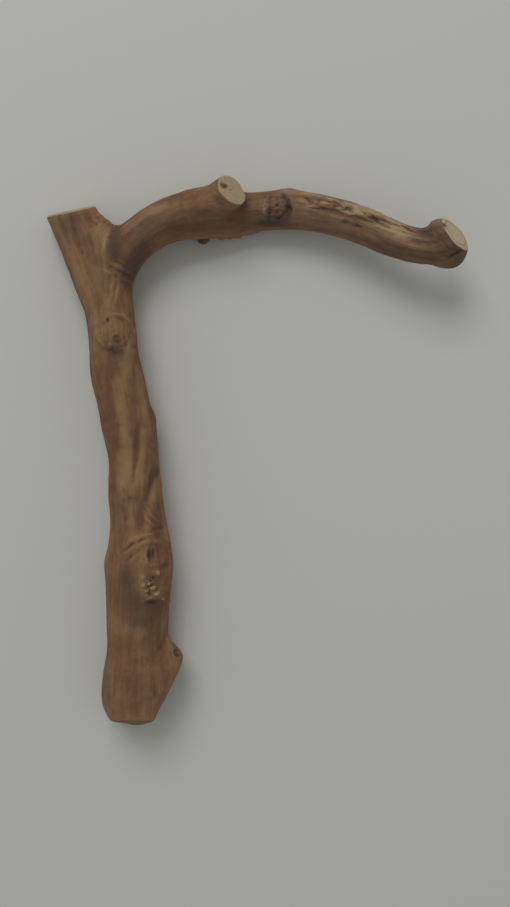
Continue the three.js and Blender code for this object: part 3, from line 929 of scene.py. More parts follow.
def branch_end():
    """Wrinkles round the sawn end, and two cracks that run towards it from below."""
    around = np.hypot(*(verts[:, :2] - SAWN_END).T)
    folds = 0.3 * np.cos(2 * np.pi * (around + 9 * clouds(6, 2)) / 5.5)
    shown = on_top * rise(around, 8, 14) * (1 - rise(around, 26, 36))
    cracks = -1.5 * trail([(157, 163), (167, 167), (176, 172)], 1.4)
    return folds * shown + cracks - 1.2 * trail([(165, 158), (172, 163)], 1.4)


def underside_nubs():
    """Small rough nubs and pegs along the underside of the branch, left of its middle."""
    rough = np.maximum(clouds(4.2, 31) - 0.47, 0)
    low = (1 - rise(verts[:, 2], 14, 22)) * rise(-verts[:, 1], -203, -197)
    return 8.0 * rough * low * rise(verts[:, 0], -38, -32) * (1 - rise(verts[:, 0], -4, 6))


SAWN_HOLES = [  # place on a sawn face, radius, depth
    ((-24.3, 223.5), 2.6, 1.6), ((-26, 225.5), 1.3, 1.4), ((-18, 221.5), 1.1, 1.6),
    ((-160.5, 212), 1.0, 1.0), ((158, 190), 0.9, 0.9),
]


def sawn_holes():
    """Rotted pith and beetle holes in the sawn faces, round as seen from above."""
    height = np.zeros(len(verts))
    for place, radius, depth in SAWN_HOLES:
        height -= depth * blob(verts[:, :2], place, radius) * rise(verts[:, 2], 12, 20)
    return height * (1 - grown)


print("dark knot spans", np.ptp(dark_knot()).round(1), "mm")
print("galleries span", np.ptp(galleries()).round(1), "mm")

# %% Cracks and beetle holes
CRACKS = [  # face, path, depth
    (UPPER, [(-155, 209), (-148, 187), (-142, 168)], 0.4),
    (LOWER, [(-96, 30), (-98, -40), (-95, -120)], 1.8),
    (LOWER, [(-112, -130), (-110, -180), (-108, -215)], 1.4),
    (LOWER, [(-40, 212), (10, 216), (60, 208), (110, 186)], 1.6),
    (LOWER, [(-142, 170), (-152, 200), (-158, 218)], 1.3),
]
HOLES = [  # place, size
    (47, 216, 1.4), (43.4, 218.4, 1.0), (88, 206, 1.1), (101, 199, 1.0), (-68, 210, 0.8),
]


def cracks():
    """Drying cracks: narrow grooves along the grain."""
    return -sum(deep * trail(path, 1.2, face) for face, path, deep in CRACKS)


def beetle_holes():
    """Small holes that beetles left, worn at their rims."""
    return -sum(0.9 * size * spot(x, y, size) for x, y, size in HOLES)


print(len(CRACKS), "cracks,", len(HOLES), "beetle holes")

# %% Applying the relief
RELIEF = (
    grain_wear, upper_knot, lower_knot, fork_wrinkles, valley, heel_and_shoulder,
    dark_knot, galleries, branch_end, underside_nubs, cracks, beetle_holes,
)

cut_gaps = np.stack([-beyond(verts, cut) for cut in CUTS], 1)
nearest_cut = cut_gaps.argmin(1)
sawn_gap = cut_gaps.min(1)
grown = rise(sawn_gap, 0.4, 2.5) * rise(verts[:, 2], 0.1, 1.5)
fine = sum(height() for height in RELIEF)
verts = verts + (fine * grown + sawn_holes())[:, None] * surface_normal
verts[:, 2] = np.maximum(verts[:, 2], 0)
print("fine relief from", (fine * grown).min().round(1), "to", (fine * grown).max().round(1), "mm")

# %% [markdown]
# ## Hollows and crests
#
# The hollows get painted shade, and crests are polished pale. A vertex lies in a hollow if the
# mean of its neighbours lies further out than it does. Averaging several times looks further
# around, so a few passes find the grain and many passes find the knots.

# %% Hollow and crest
FINE_PASSES, BROAD_PASSES = 6, 36


def edges_of(faces):
    """The two vertex numbers of each side of each face."""
    return np.stack([faces, np.roll(faces, -1, 1)], 2).reshape(-1, 2)


edges = np.vstack([edges_of(quads), edges_of(triangles)])
edges = np.vstack([edges, edges[:, ::-1]])
neighbours = np.bincount(edges[:, 0], minlength=len(verts))


def averaged(values, passes):
    """Each vertex's values replaced by the mean over its neighbours, a number of times."""
    for _ in range(passes):
        columns = [np.bincount(edges[:, 0], column[edges[:, 1]], len(verts)) for column in values.T]
        values = np.stack(columns, 1) / neighbours[:, None]
    return values


def hollowness(passes):
    """How far the smoothed skin lies outside the vertex, in mm: positive in a hollow."""
    return ((averaged(verts, passes) - verts) * surface_normal).sum(1)


fine_hollow, broad_hollow = hollowness(FINE_PASSES), hollowness(BROAD_PASSES)
print("hollows up to", fine_hollow.max().round(2), "and", broad_hollow.max().round(2), "mm")

# %% [markdown]
# ## Stains and painted shade
#
# Some colour isn't explained by shape: purple-black stain round the rotted knots, a pale collar
# beside the dark knot, tan streaks along the worn ridges, redder wood on the stem's left. Some
# darkness is painted shade: in the crook of the fork, below the round knot, beside the heel and
# along the branch's lower side. Two painted values carry this: stain darkens, for real stains and
# for that painted shade alike, and tan makes the wood paler above 0 and redder below it. Each is
# a sum of round spots and of lines drawn as seen from above.

# %% Painted values
# Spots of real stain, and of painted shade where marked below.
STAIN_AND_SHADE_SPOTS = [  # place, radius, squash, depth of the stain
    (29, 211, 3.0, 2.6, 1.35), (22, 202.5, 5, 0.6, 1.1), (25.5, 221, 2.6, 1.0, 1.6),
    (12, 206, 2.2, 2.0, 0.8), (20.5, 212, 9, 1.0, 0.7), (-84.2, -78, 2.9, 1.9, 1.35),
    (-73, -87.7, 3.5, 1.0, 0.8), (-119.9, 114, 1.5, 1.3, 1.05), (-112.9, 98, 4.6, 1.0, 0.9),
    # (-114, 88) is painted shade below the swelling of the round knot.
    (-114, 88, 9, 0.6, 0.9), (-122, 100, 4, 1.2, 0.4), (-113, 104, 16, 1.0, 0.18),
    (-91, 40, 12, 2.0, 0.2), (-83.5, -118.5, 5, 0.45, 1.2), (-83, -98.5, 2.0, 1.0, 0.9),
    (-104, -97, 9, 1.3, 1.0), (-98, -118, 12, 1.0, 1.1), (-92, -134, 13, 0.6, 0.8),
    # (-104, 150) and (-93, 162) are painted shade in the crook of the fork.
    (-80, -122, 9, 0.7, 0.6), (-104, 150, 12, 1.0, 0.9), (-93, 162, 16, 1.3, 0.95),
    (-100, 178, 12, 1.0, 0.35), (-160, 195, 14, 1.4, 0.35), (-114, 80, 10, 0.7, 0.5),
    (-107, -25.5, 1.7, 1.4, 1.0), (-102.5, -32, 2.8, 1.4, 0.9), (-107.5, -34, 1.8, 1.5, 0.7),
    (-108.2, -41, 1.9, 2.8, 0.9), (-106.4, -49, 2.0, 1.5, 0.9), (-104, -40, 2.0, 1.0, 0.5),
    (-97, -33, 2.2, 1.0, 0.6), (-90, -152, 9, 0.6, 0.5), (139, 186, 6, 0.7, 1.0),
    (172, 162, 9, 0.8, 1.5), (158, 172, 14, 0.9, 0.75), (146, 184, 9, 0.8, 0.5),
    (44.5, 217.5, 2.2, 0.6, 1.0), (78, 207.8, 4.5, 0.5, 1.2), (11, 200, 8, 0.4, 0.9),
    (-8, 216, 7, 1.6, 0.6), (-150, 205, 8, 2.0, 0.4),
]
# Lines of real stain, and of painted shade where marked below.
STAIN_AND_SHADE_LINES = [  # path, width, depth of the stain
    ([(-74, 4), (-84, -16), (-89, -30), (-92.5, -44), (-95, -62)], 4.2, 0.9),
    ([(-68.5, -157), (-66, -160), (-65.5, -163.5), (-62, -166)], 1.2, 1.4),
    ([(-113, 199), (-115, 182), (-115.5, 160)], 5.0, 1.0),
    # The next two lines run along the branch's lower edge and are painted shade on its lower side.
    ([(-80, 186), (-40, 195), (0, 200), (40, 201)], 7, 0.7),
    ([(48, 194), (80, 186), (120, 172), (150, 162)], 5, 0.7),
    ([(-98, 190), (-60, 203), (-32, 206)], 8, 0.5),
    ([(-132, 114), (-133.5, 102), (-125, 92), (-114, 87), (-103, 90)], 1.6, 0.5),
    ([(68, 200), (80, 196.2), (92, 191.5)], 1.5, 1.0),
    ([(-94.5, 34), (-97, 10), (-99.5, -24)], 2.0, 0.5),
    ([(-99, 92), (-99.5, 60), (-97, 26)], 1.8, 0.55),
    ([(-89, 74), (-87, 50), (-84, 22)], 1.6, 0.45),
    ([(-136, 192), (-131, 162), (-127, 128)], 10, 0.45),
    ([(-130, 190), (-126, 164), (-124, 138)], 1.2, 0.35),
    ([(-112, 84), (-113.5, 56), (-114, 24)], 1.4, 0.4),
    ([(-168, 216), (-160, 196), (-150, 168)], 2.6, 0.6),
    ([(-141, 208), (-136, 186), (-130, 160)], 1.4, 0.4),
    ([(-104, 186), (-86, 200), (-62, 209)], 1.6, 0.5),
    ([(-96, 180), (-80, 192), (-56, 200)], 1.8, 0.5),
    ([(-150, 210), (-143, 186), (-134, 160)], 2.0, 0.4),
    ([(-110, -78), (-101.2, -70.3), (-95.3, -67.2), (-86, -64.5)], 1.1, 0.55),
    ([(-105, -85), (-99, -78.5), (-93, -74)], 1.3, 0.45),
]
# Blots of real stain, and of painted shade where marked below.
STAIN_AND_SHADE_BLOTS = [  # centre in space, radius, depth of the stain
    ((-44, 190, 13), 8, 1.5), ((-20, 194, 10), 9, 0.8), ((176, 163, 42), 10, 1.2),
    # The blot at (-60, -160, 22) is painted shade on the right side of the heel knob.
    ((160, 168, 44), 18, 0.7), ((178, 172, 40), 9, 0.6), ((-60, -160, 22), 9, 0.5),
]
WARM = [  # path, width, how much paler than its surroundings (or, below 0, redder)
    ([(-104, 94), (-106, 62), (-107.5, 28), (-110, -4)], 3.2, 0.75),
    ([(-90, 26), (-91, 7), (-95, -13), (-101, -32)], 3.0, 0.6),
    ([(-128, 208), (-126, 188), (-125, 166)], 4.5, 0.55),
    ([(-120.5, 195), (-122.5, 182), (-124.5, 168)], 1.5, 1.0),
    ([(-112, 196), (-112, 176), (-111, 160)], 6, -0.7),
    ([(-116.5, 156), (-117.6, 140), (-119, 122)], 1.1, 1.0),
    ([(-111.8, 154), (-114, 138), (-116.5, 122)], 1.1, 0.9),
    ([(-125, 157.5), (-121.5, 154.5), (-117, 153)], 1.1, 1.3),
    ([(-119, 163), (-110, 158), (-99, 152.5)], 1.2, 1.0),
    ([(-112, 152), (-105, 149), (-98, 147)], 1.1, 0.6),
    ([(-112, 10), (-110, -40), (-112, -70)], 9, 0.35),
    ([(-72, 16), (-70, -30), (-70, -64)], 5, 0.4),
    ([(-82, -14), (-82, -30), (-84, -42)], 3.0, 0.6),
    ([(-106, -71), (-97.6, -64.5), (-91, -62), (-80, -61.5)], 1.3, 0.8),
    ([(-108, -80), (-99.3, -73), (-92.7, -69.5), (-85, -67.5)], 1.3, 0.7),
    ([(-87.5, -71), (-88.6, -78), (-87, -86)], 1.2, 0.6),
    ([(-90.5, -43), (-87.5, -50), (-83.7, -55), (-77, -57.5)], 1.0, 0.8),
    ([(-88.6, -38), (-85, -47), (-79, -52.5)], 1.0, 0.6),
    ([(-121, 118.5), (-115, 120.5), (-107.5, 119), (-101.5, 111)], 1.1, 0.8),
    ([(-102, 113), (-99.5, 104), (-101, 96), (-107, 89)], 1.6, 0.5),
    ([(55, 214.5), (61, 213), (67, 210.5)], 2.4, 1.2),
    ([(72, 215), (86, 210), (99, 204.5), (112, 198), (127, 191)], 3.2, 1.3),
    ([(63, 202.5), (74, 199.5), (86, 194)], 1.7, 1.2),
    ([(10, 206), (8.5, 212), (10, 219)], 2.2, 1.1),
    ([(22, 227), (30, 228), (44, 224), (60, 220)], 3.0, 0.8),
    ([(143, 194), (149, 196), (155, 193)], 4.5, 0.8),
    ([(-120, 96), (-123, 64), (-122, 34), (-117, -10)], 8.5, -0.6),
    ([(-94, 84), (-92, 56), (-89, 30)], 1.6, 0.6),
    ([(-101, 20), (-103, 0), (-106, -24)], 2.2, 0.5),
    ([(-94.5, 34), (-97, 10), (-99.5, -24)], 2.0, -0.8),
    ([(-92, -48), (-95, -58)], 3.0, -0.8),
    ([(-84, -46), (-80, -58), (-82, -66)], 3.5, -0.7),
    ([(-80, -72), (-80, -82)], 3.0, -0.8),
    ([(-104, -140), (-100, -200)], 16, -0.4),
    ([(-150, 212), (-146, 190), (-140, 172)], 11, -0.5),
    ([(-80, 214), (-40, 212)], 10, -0.5),
    ([(-104, 176), (-90, 190), (-76, 200)], 9, -0.5),
    ([(-98, 132), (-98, 118), (-97, 104)], 5, -0.4),
    ([(-134, 196), (-130, 180), (-128, 164)], 4, 0.5),
    ([(-98, 196), (-80, 207), (-60, 215)], 3, 0.5),
    ([(-126, 150), (-124, 136), (-124, 122)], 4, -0.4),
    ([(-108, -28), (-108, -12), (-106, 10)], 5, 0.5),
]


def painted(path, width):
    """A wobbly line without breaks on the upper face, with soft ends, for colour alone."""
    return on_top * on_path(drawn, path, width * np.sqrt(2)) ** 2


# The stain value adds up real stains, cracks and beetle work, and the painted shade marked in the
# lists above.
stain_and_shade = sum(depth * spot(x, y, size, squash) for x, y, size, squash, depth in STAIN_AND_SHADE_SPOTS)
stain_and_shade = stain_and_shade + all_lines(STAIN_AND_SHADE_LINES, painted)
stain_and_shade = stain_and_shade + sum(0.6 * trail(path, 1.4, face) for face, path, _ in CRACKS)
stain_and_shade = stain_and_shade + 0.8 * rise(wander, 0.50, 0.62) * gallery_ground()
for centre, radius, depth in STAIN_AND_SHADE_BLOTS:
    stain_and_shade = stain_and_shade + depth * blob(verts, centre, radius)
streaky = rise(noise(along_grain(2.0, 12)), 0.52, 0.72) * rise(verts[:, 0], 40, 90)
stain_and_shade = stain_and_shade + 0.35 * streaky
print("stain up to", stain_and_shade.max().round(2))

tan = all_lines(WARM, painted)
tan = tan + sum(2.2 * pale * spot(x, y, CRUMB_WIDTH * size) for x, y, size, pale in CRUMBS)
tan = tan + 1.6 * spot(-118.8, 94.8, 1.2) + 0.4 * spot(-123, 107, 5) + 0.5 * spot(*DARK_KNOT, 5)
tan = tan + 0.8 * spot(-90, -103, 3.2, squash=2.2)
tan = tan + (1.5 - 2.0 * rise(wander, 0.38, 0.54)) * gallery_ground()
print("tan from", tan.min().round(2), "to", tan.max().round(2))

# %% Places on the sawn faces
PITHS = {  # the pith of each cut, seen from above
    "leader": (-162, 212), "foot": (-104, -224), "heel": (-60, -170), "corner": (-100, -190),
    "twig": (-23.5, 224), "branch": (154, 189),
}
SIDEWAYS = 0.2
RING_DEPTH, RING_WIDTH = 3.2, 0.75


def sawn_places():
    """Right and up from the pith in the plane of the nearest cut, and how fresh that cut is.

    The pith's height is that of the plane at its place seen from above, or the height of the
    cut's own point where the sawn face looks sideways.
    """
    place = np.zeros((len(verts), 3))
    for index, (cut, (at, faces, _, fresh)) in enumerate(CUTS.items()):
        faces = unit(np.array(faces))
        at = np.array(at, float)
        pith = np.array([*PITHS[cut], 0.0])
        if abs(faces[2]) > SIDEWAYS:
            pith[2] = at[2] - ((pith - at)[:2] @ faces[:2]) / faces[2]
        else:
            pith[2] = at[2]
        right = unit(np.cross([0, 1, 0.3], faces))
        up = np.cross(faces, right)
        here = nearest_cut == index
        off = verts[here] - pith
        place[here] = np.stack([off @ right, off @ up, np.full(here.sum(), fresh)], 1)
    return place


def ring_line():
    """1 on the dark growth ring that shows a little inside the edge of the branch's sawn face."""
    line = np.zeros(len(verts))
    on_face = (nearest_cut == list(CUTS).index("branch")) & (sawn_gap < 1.0)
    line[on_face] = peak(-distance_unsawn(verts[on_face]), RING_DEPTH, RING_WIDTH)
    return line


ring_share = ring_line()
sawn_place = sawn_places()
print("vertices on sawn faces:", int((sawn_gap < 0.5).sum()))

# %% [markdown]
# ## The mesh
#
# The arrays now go into one Blender mesh, in metres. The values per vertex become named
# attributes, which the material reads. The grain place is stored as it is, in millimetres.

# %% Mesh and attributes
def new_mesh(name, points, fours, threes):
    """A mesh object at the origin from points in mm, quads and triangles, shaded smooth."""
    mesh = bpy.data.meshes.new(name)
    mesh.vertices.add(len(points))
    mesh.vertices.foreach_set("co", (points * MM).ravel())
    corners = np.concatenate([fours.ravel(), threes.ravel()])
    starts = np.concatenate([np.arange(0, fours.size, 4), np.arange(fours.size, len(corners), 3)])
    mesh.loops.add(len(corners))
    mesh.loops.foreach_set("vertex_index", corners)
    mesh.polygons.add(len(starts))
    mesh.polygons.foreach_set("loop_start", starts)
    mesh.update(calc_edges=True)
    mesh.polygons.foreach_set("use_smooth", np.ones(len(starts), bool))
    mesh.validate()
    piece = bpy.data.objects.new(name, mesh)
    bpy.context.collection.objects.link(piece)
    return piece


def add_value(piece, name, values):
    """Stores one number or one vector per vertex under a name."""
    kind, field = ("FLOAT", "value") if values.ndim == 1 else ("FLOAT_VECTOR", "vector")
    attribute = piece.data.attributes.new(name, kind, "POINT")
    attribute.data.foreach_set(field, values.astype(np.float32).ravel())


wood_piece = new_mesh("driftwood_skin", verts, quads, triangles)
for name, values in {
    "grain": grain, "fine_hollow": fine_hollow, "broad_hollow": broad_hollow, "stain_and_shade": stain_and_shade,
    "tan": tan, "sawn_gap": sawn_gap, "sawn_place": sawn_place, "ring_line": ring_share,
}.items():
    add_value(wood_piece, name, values)
print("driftwood_skin:", len(wood_piece.data.polygons), "faces")

# %% [markdown]
# ## Shader maths
#
# A material is easier to read as formulas than as a web of nodes. This small class wraps a
# socket, so that ordinary sums and products add the Math nodes.

# %% Sockets and materials
class Value:
    """A number in a material: arithmetic on it adds Math nodes."""

    def __init__(self, maker, socket):
        self.maker = maker
        self.socket = socket

    def math(self, operation, *others):
        """One Math node, of this value and any others."""
        return self.maker.value("ShaderNodeMath", {"operation": operation}, self, *others)

    def __add__(self, other):
        return self.math("ADD", other)

    def __sub__(self, other):
        return self.math("SUBTRACT", other)

    def __rsub__(self, other):
        return (self * -1) + other

    def __mul__(self, other):
        return self.math("MULTIPLY", other)

    def __pow__(self, other):
        return self.math("POWER", other)

    __radd__ = __add__
    __rmul__ = __mul__

    def size(self):
        return self.math("ABSOLUTE")

    def wave(self):
        return self.math("SINE")

    def ramp(self, start, end, low=0.0, high=1.0):
        """low up to start, high from end on, and a smooth rise or fall in between."""
        settings = {"interpolation_type": "SMOOTHSTEP"}
        return self.maker.value("ShaderNodeMapRange", settings, self, start, end, low, high)


class Maker:
    """Adds nodes to one material."""

    def __init__(self, name):
        self.material = bpy.data.materials.new(name)
        self.material.use_nodes = True
        self.tree = self.material.node_tree
        self.shader = self.tree.nodes["Principled BSDF"]

    def node(self, kind, settings, *inputs, **named):
        """Any node: its settings first, then its inputs by order or by name."""
        node = self.tree.nodes.new(kind)
        for key, setting in settings.items():
            setattr(node, key, setting)
        slots = [(node.inputs[i], given) for i, given in enumerate(inputs)]
        slots += [(node.inputs[key.replace("_", " ")], given) for key, given in named.items()]
        for slot, given in slots:
            self.put(slot, given)
        return node

    def put(self, slot, given):
        """Links a socket or sets a plain value."""
        if isinstance(given, Value):
            given = given.socket
        if isinstance(given, bpy.types.NodeSocket):
            self.tree.links.new(given, slot)
        elif given is not None:
            slot.default_value = given

    def value(self, kind, settings, *inputs, **named):
        return Value(self, self.node(kind, settings, *inputs, **named).outputs[0])

    def attribute(self, name, output="Fac"):
        node = self.node("ShaderNodeAttribute", {"attribute_name": name})
        return node.outputs[output]

    def number(self, name):
        return Value(self, self.attribute(name))

    def noise(self, vector, scale, detail=2.0, roughness=0.5):
        node = self.node("ShaderNodeTexNoise", {}, Vector=vector, Scale=scale, Detail=detail,
                         Roughness=roughness)
        return Value(self, node.outputs[0])

    def streaks(self, place, across, along, detail, roughness):
        """Noise stretched along the third axis, in streaks that are across by along mm."""
        scale = (1 / across, 1 / across, 1 / along)
        squeezed = self.node("ShaderNodeMapping", {}, Vector=place, Scale=scale).outputs[0]
        return self.noise(squeezed, 1.0, detail, roughness)

    def mix(self, share, first, second, how="MIX"):
        """Two colours mixed by a share."""
        node = self.node("ShaderNodeMix", {"data_type": "RGBA", "blend_type": how})
        for name, given in (("Factor_Float", share), ("A_Color", first), ("B_Color", second)):
            slot = next(s for s in node.inputs if s.identifier == name)
            self.put(slot, (*given, 1.0) if isinstance(given, tuple) else given)
        return next(s for s in node.outputs if s.identifier == "Result_Color")


print("shader maths ready")

# %% [markdown]
# ## Driftwood's finish
#
# Bare weathered wood is matt. Its colour lies in layers: broad reddish and tan streaks, finer
# streaks inside them, hair-fine fibres and short dark pores, all along the grain. Then painted
# shade darkens the hollows, wear pales the crests, and the painted stains go on top, some of them
# painted shade. The sawn faces are paler, with growth rings round the pith, a few checks and faint
# saw marks; old sawn faces are darker, and on the foot that darkness is also painted shade.

# %% Colours
RED_BROWN = (0.185, 0.086, 0.045)
GREY_BROWN = (0.180, 0.091, 0.052)
TAN = (0.300, 0.176, 0.090)
GREY_TAN = (0.305, 0.185, 0.108)
PALE = (0.480, 0.340, 0.200)
DARK = (0.055, 0.033, 0.024)
# This colour serves real stains and painted shade alike.
STAIN_AND_SHADE = (0.075, 0.046, 0.034)
ROT = (0.046, 0.034, 0.031)
SAWN = (0.470, 0.355, 0.225)
SAWN_PALE = (0.600, 0.475, 0.330)
SAWN_HEART = (0.260, 0.170, 0.095)
# The old sawn colour is darkened weathering, and on the foot also painted shade.
SAWN_OLD_AND_SHADED = (0.130, 0.082, 0.052)

# Streaks along the grain: how wide and long in mm, then the noise's detail and roughness.
BROAD_STREAKS = (13, 90, 3.0, 0.55)
MIDDLE_STREAKS = (4.0, 46, 3.0, 0.6)
FIBRES = (1.0, 18, 2.0, 0.6)
PORES = (0.6, 5, 1.0, 0.5)
SCUFFS = (2.2, 7, 3.0, 0.65)

# Blots on Object coordinates: the noise's scale per metre, its detail and roughness.
CLOUDS = (34.0, 4.0, 0.6)
MOTTLE = (130.0, 3.0, 0.6)

# Ramps: where each starts and ends, and its values there.
SILVERED = (-0.07, 0.03)  # metres to the right, from the stem's warm brown to the greyer branch
PALER = (0.8, 1.8, 0.0, 0.85)
STREAKED = (0.7, 1.2, 0.85, 1.09)
PORES_SHOWN = (0.66, 0.76, 0.0, 0.25)
SCUFFS_SHOWN = (0.64, 0.76, 0.0, 0.25)
# The next ramp is for painted shade in the hollows.
HOLLOW_SHADE = (0.12, 1.1, 0.0, 0.7)
WORN_PALE = (0.1, 0.6, 0.0, 0.35)
STAINED_AND_SHADED = (0.05, 1.3, 0.0, 0.78)
ROTTEN = (1.1, 2.0, 0.0, 0.85)


def streaky_colour(m, grain_place, spot_place):
    """The clean wood: streaks, clouds and fibres make it redder or paler; returns the clouds."""
    broad = m.streaks(grain_place, *BROAD_STREAKS) - 0.5
    middle = m.streaks(grain_place, *MIDDLE_STREAKS)
    fibre = m.streaks(grain_place, *FIBRES)
    cloud = m.noise(spot_place, *CLOUDS)
    mottle = m.noise(spot_place, *MOTTLE)
    tan_share = m.number("tan")
    warmth = broad * 0.95 + (middle - 0.5) * 0.45 + (cloud - 0.5) * 1.0 + (mottle - 0.5) * 0.35
    sideways = Value(m, m.node("ShaderNodeSeparateXYZ", {}, spot_place).outputs[0])
    silvered = sideways.ramp(*SILVERED)
    darker = m.mix(silvered, RED_BROWN, GREY_BROWN)
    paler = m.mix(silvered, TAN, GREY_TAN)
    colour = m.mix((warmth + tan_share * 0.6 + 0.42).ramp(0.0, 1.0), darker, paler)
    colour = m.mix((tan_share + (fibre - 0.5)).ramp(*PALER), colour, PALE)
    streak = (middle * 0.5 + fibre * 0.5 + cloud * 0.6 + mottle * 0.3).ramp(*STREAKED)
    grey = m.node("ShaderNodeCombineColor", {}, streak, streak, streak).outputs[0]
    return m.mix(1.0, colour, grey, "MULTIPLY"), cloud, mottle


def grown_colour(m, grain_place, spot_place):
    """Skin colour: the clean wood, its pores, then painted shade in the hollows, worn crests,
    scuffs, and stains with painted shade among them.
    """
    colour, cloud, mottle = streaky_colour(m, grain_place, spot_place)
    colour = m.mix(m.streaks(grain_place, *PORES).ramp(*PORES_SHOWN), colour, DARK)
    # Painted shade: the hollows, found from the shape, are darkened.
    hollow_shade = m.number("fine_hollow") * 1.6 + m.number("broad_hollow") * 0.25
    colour = m.mix(hollow_shade.ramp(*HOLLOW_SHADE), colour, DARK)
    crest = m.number("fine_hollow") * -2.2
    colour = m.mix(crest.ramp(*WORN_PALE), colour, TAN)
    colour = m.mix(m.streaks(grain_place, *SCUFFS).ramp(*SCUFFS_SHOWN), colour, PALE)
    blotch = (cloud - 0.5) * 0.8 + (mottle - 0.5) * 0.8
    # The stain value darkens the skin, partly with real stains and partly with painted shade.
    stain_and_shade_depth = m.number("stain_and_shade") * (blotch + 1.0)
    colour = m.mix(stain_and_shade_depth.ramp(*STAINED_AND_SHADED), colour, STAIN_AND_SHADE)
    return m.mix(stain_and_shade_depth.ramp(*ROTTEN), colour, ROT)


print("grown wood runs from", RED_BROWN, "to", TAN)


# %% Sawn colour
SAWN_RING = 1.9  # mm from one growth ring to the next
LATE_WOOD = (0.5, 1.0, 0.0, 0.30)
HEART_EDGE = (2.2, 4.2, 0.9, 0.0)
PITH_EDGE = (1.0, 2.6, 0.8, 0.0)
CHECK_WIDTH = (0.0, 0.07, 0.5, 0.0)
CHECKS_START, CHECKS_END = (2.0, 4.0), (8.0, 14.0, 1.0, 0.0)
GRIME = (0.4, 0.75, 0.0, 0.35)
WEATHERED_AND_SHADED = (0.3, 0.9, 0.86, 0.0)  # by how fresh the cut is


def sawn_colour(m, place):
    """Sawn faces: rings round the pith, a browner heart, checks and grime, and a darker old face,
    which on the foot is also painted shade; returns the checks.
    """
    parts = m.node("ShaderNodeSeparateXYZ", {}, place)
    right, up, fresh = (Value(m, socket) for socket in parts.outputs)
    flat = m.node("ShaderNodeCombineXYZ", {}, right, up).outputs[0]
    wobble = m.noise(flat, 0.16, 2.0)
    radius = (right * right + up * up) ** 0.5 + (wobble - 0.5) * 5.0
    ring = (radius * (2 * np.pi / SAWN_RING)).wave() * 0.5 + 0.5
    late = ring.ramp(*LATE_WOOD) + m.number("ring_line") * 0.6
    colour = m.mix(late, m.mix(fresh.ramp(1.0, 1.25), SAWN, SAWN_PALE), SAWN_HEART)
    heart = m.mix(radius.ramp(*HEART_EDGE), colour, SAWN_HEART)
    pith = m.mix((radius + (wobble - 0.5) * 4.0).ramp(*PITH_EDGE), heart, DARK)
    angle = up.math("ARCTAN2", right)
    check = (angle * 3.0 + (wobble - 0.5) * 3.0).wave().size().ramp(*CHECK_WIDTH)
    cracked = m.mix(check * radius.ramp(*CHECKS_START) * radius.ramp(*CHECKS_END), pith, DARK)
    worn = m.mix(m.noise(flat, 0.35, 4.0, 0.65).ramp(*GRIME), cracked, SAWN_HEART)
    # Old faces take this weathered colour; on the foot it is also painted shade.
    weathered_and_shaded = m.mix(m.noise(flat, 0.22, 4.0, 0.7).ramp(0.3, 0.7), SAWN_OLD_AND_SHADED, RED_BROWN)
    return m.mix(fresh.ramp(*WEATHERED_AND_SHADED), worn, weathered_and_shaded), check


print("sawn wood is", SAWN)


# %% Driftwood material
SAWN_EDGE = (0.35, 0.85, 1.0, 0.0)  # mm from the cut's plane
FINE_RIDGES = (0.7, 14, 3.0, 0.6)  # streaks once more, for the bump
COARSE_RIDGES = (1.9, 34, 2.0, 0.5)
SAW_MARKS = (0.5, 1.0, 2.0, 0.5)
BUMP_STRENGTH = 0.9
BUMP_DEPTH = 0.0008
MATT = 0.78
HOLLOWS_ROUGHER = (-0.3, 0.3, -0.1, 0.12)
SHEEN = 0.3


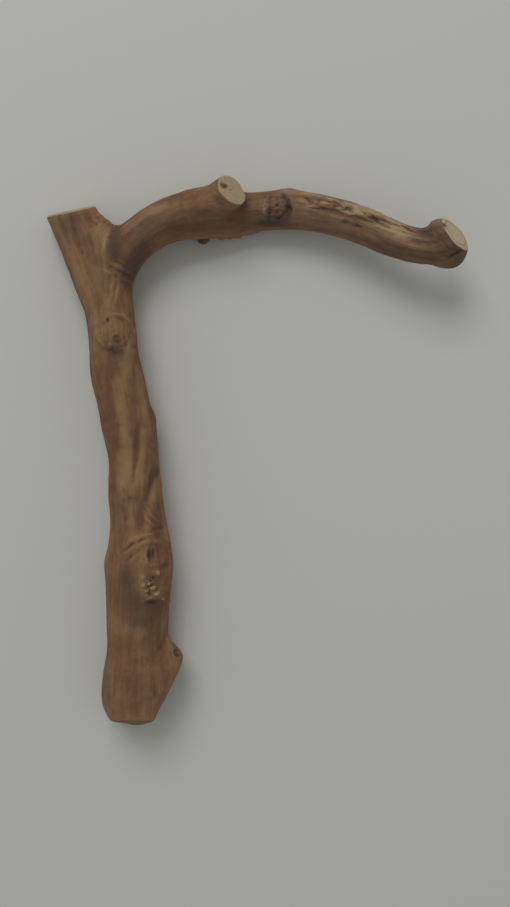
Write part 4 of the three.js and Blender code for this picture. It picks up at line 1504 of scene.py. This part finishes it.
def driftwood_material():
    """Grown skin and sawn faces in one material, mixed by the distance from the saw cut."""
    m = Maker("driftwood")
    grain_place = m.attribute("grain", "Vector")
    cut_place = m.attribute("sawn_place", "Vector")
    here = m.node("ShaderNodeTexCoord", {}).outputs["Object"]
    skin = grown_colour(m, grain_place, here)
    face, check = sawn_colour(m, cut_place)
    ragged = m.number("sawn_gap") + (m.noise(here, 400.0) - 0.5) * 0.5
    sawn = ragged.ramp(*SAWN_EDGE)
    m.put(m.shader.inputs["Base Color"], m.mix(sawn, skin, face))
    grown_height = m.streaks(grain_place, *FINE_RIDGES) * 0.5
    grown_height = grown_height + m.streaks(grain_place, *COARSE_RIDGES)
    sawn_height = m.streaks(cut_place, *SAW_MARKS) * 0.35 - check * 0.6
    height = grown_height * (1 - sawn) + sawn_height * sawn
    bump = m.node("ShaderNodeBump", {}, Strength=BUMP_STRENGTH, Distance=BUMP_DEPTH, Height=height)
    m.put(m.shader.inputs["Normal"], bump.outputs[0])
    roughness = m.number("fine_hollow").ramp(*HOLLOWS_ROUGHER) + MATT
    m.put(m.shader.inputs["Roughness"], roughness)
    m.shader.inputs["Specular IOR Level"].default_value = SHEEN
    return m.material


wood_piece.data.materials.append(driftwood_material())
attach(wood_piece, "root")
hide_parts("driftwood")
print("material nodes:", len(wood_piece.data.materials[0].node_tree.nodes))

# %% [markdown]
# ## Floor and light
#
# The backdrop is plain and pale, and the light is soft: one broad lamp beyond the top of the
# picture, a little to the left, and a weak even sky. The lamp throws the branch's soft shadow
# below it, as in the photograph.

# %% Floor
FLOOR_COLOUR = (0.62, 0.62, 0.585)
FLOOR_ROUGHNESS = 0.9
FLOOR_HALF = 4000.0

floor_corners = FLOOR_HALF * np.array([(-1, -1, 0), (1, -1, 0), (1, 1, 0), (-1, 1, 0)], float)
floor = new_mesh("floor", floor_corners, np.array([[0, 1, 2, 3]]), np.empty((0, 3), int))
floor_maker = Maker("floor")
floor_maker.shader.inputs["Base Color"].default_value = (*FLOOR_COLOUR, 1)
floor_maker.shader.inputs["Roughness"].default_value = FLOOR_ROUGHNESS
floor.data.materials.append(floor_maker.material)
print("floor", 2 * FLOOR_HALF * MM, "m wide")

# %% Light
SKY = (0.80, 0.82, 0.80)
SKY_STRENGTH = 0.45
WINDOW_SPOT = Vector((-0.65, 1.95, 2.4))
WINDOW_COLOUR = (1.0, 0.99, 0.96)
WINDOW_SIZE = 1.6
WINDOW_WATTS = 34.0
AIM = Vector((-0.03, 0.05, 0.02))

window_data = bpy.data.lights.new("window", "AREA")
window_data.size = WINDOW_SIZE
window_data.energy = WINDOW_WATTS
window_data.color = WINDOW_COLOUR
window = bpy.data.objects.new("window", window_data)
window.location = WINDOW_SPOT
window.rotation_euler = (AIM - WINDOW_SPOT).to_track_quat("-Z", "Y").to_euler()
bpy.context.collection.objects.link(window)
world = bpy.data.worlds.new("sky")
world.use_nodes = True
background = world.node_tree.nodes["Background"]
background.inputs["Color"].default_value = (*SKY, 1)
background.inputs["Strength"].default_value = SKY_STRENGTH
bpy.context.scene.world = world
print("sky strength", SKY_STRENGTH)
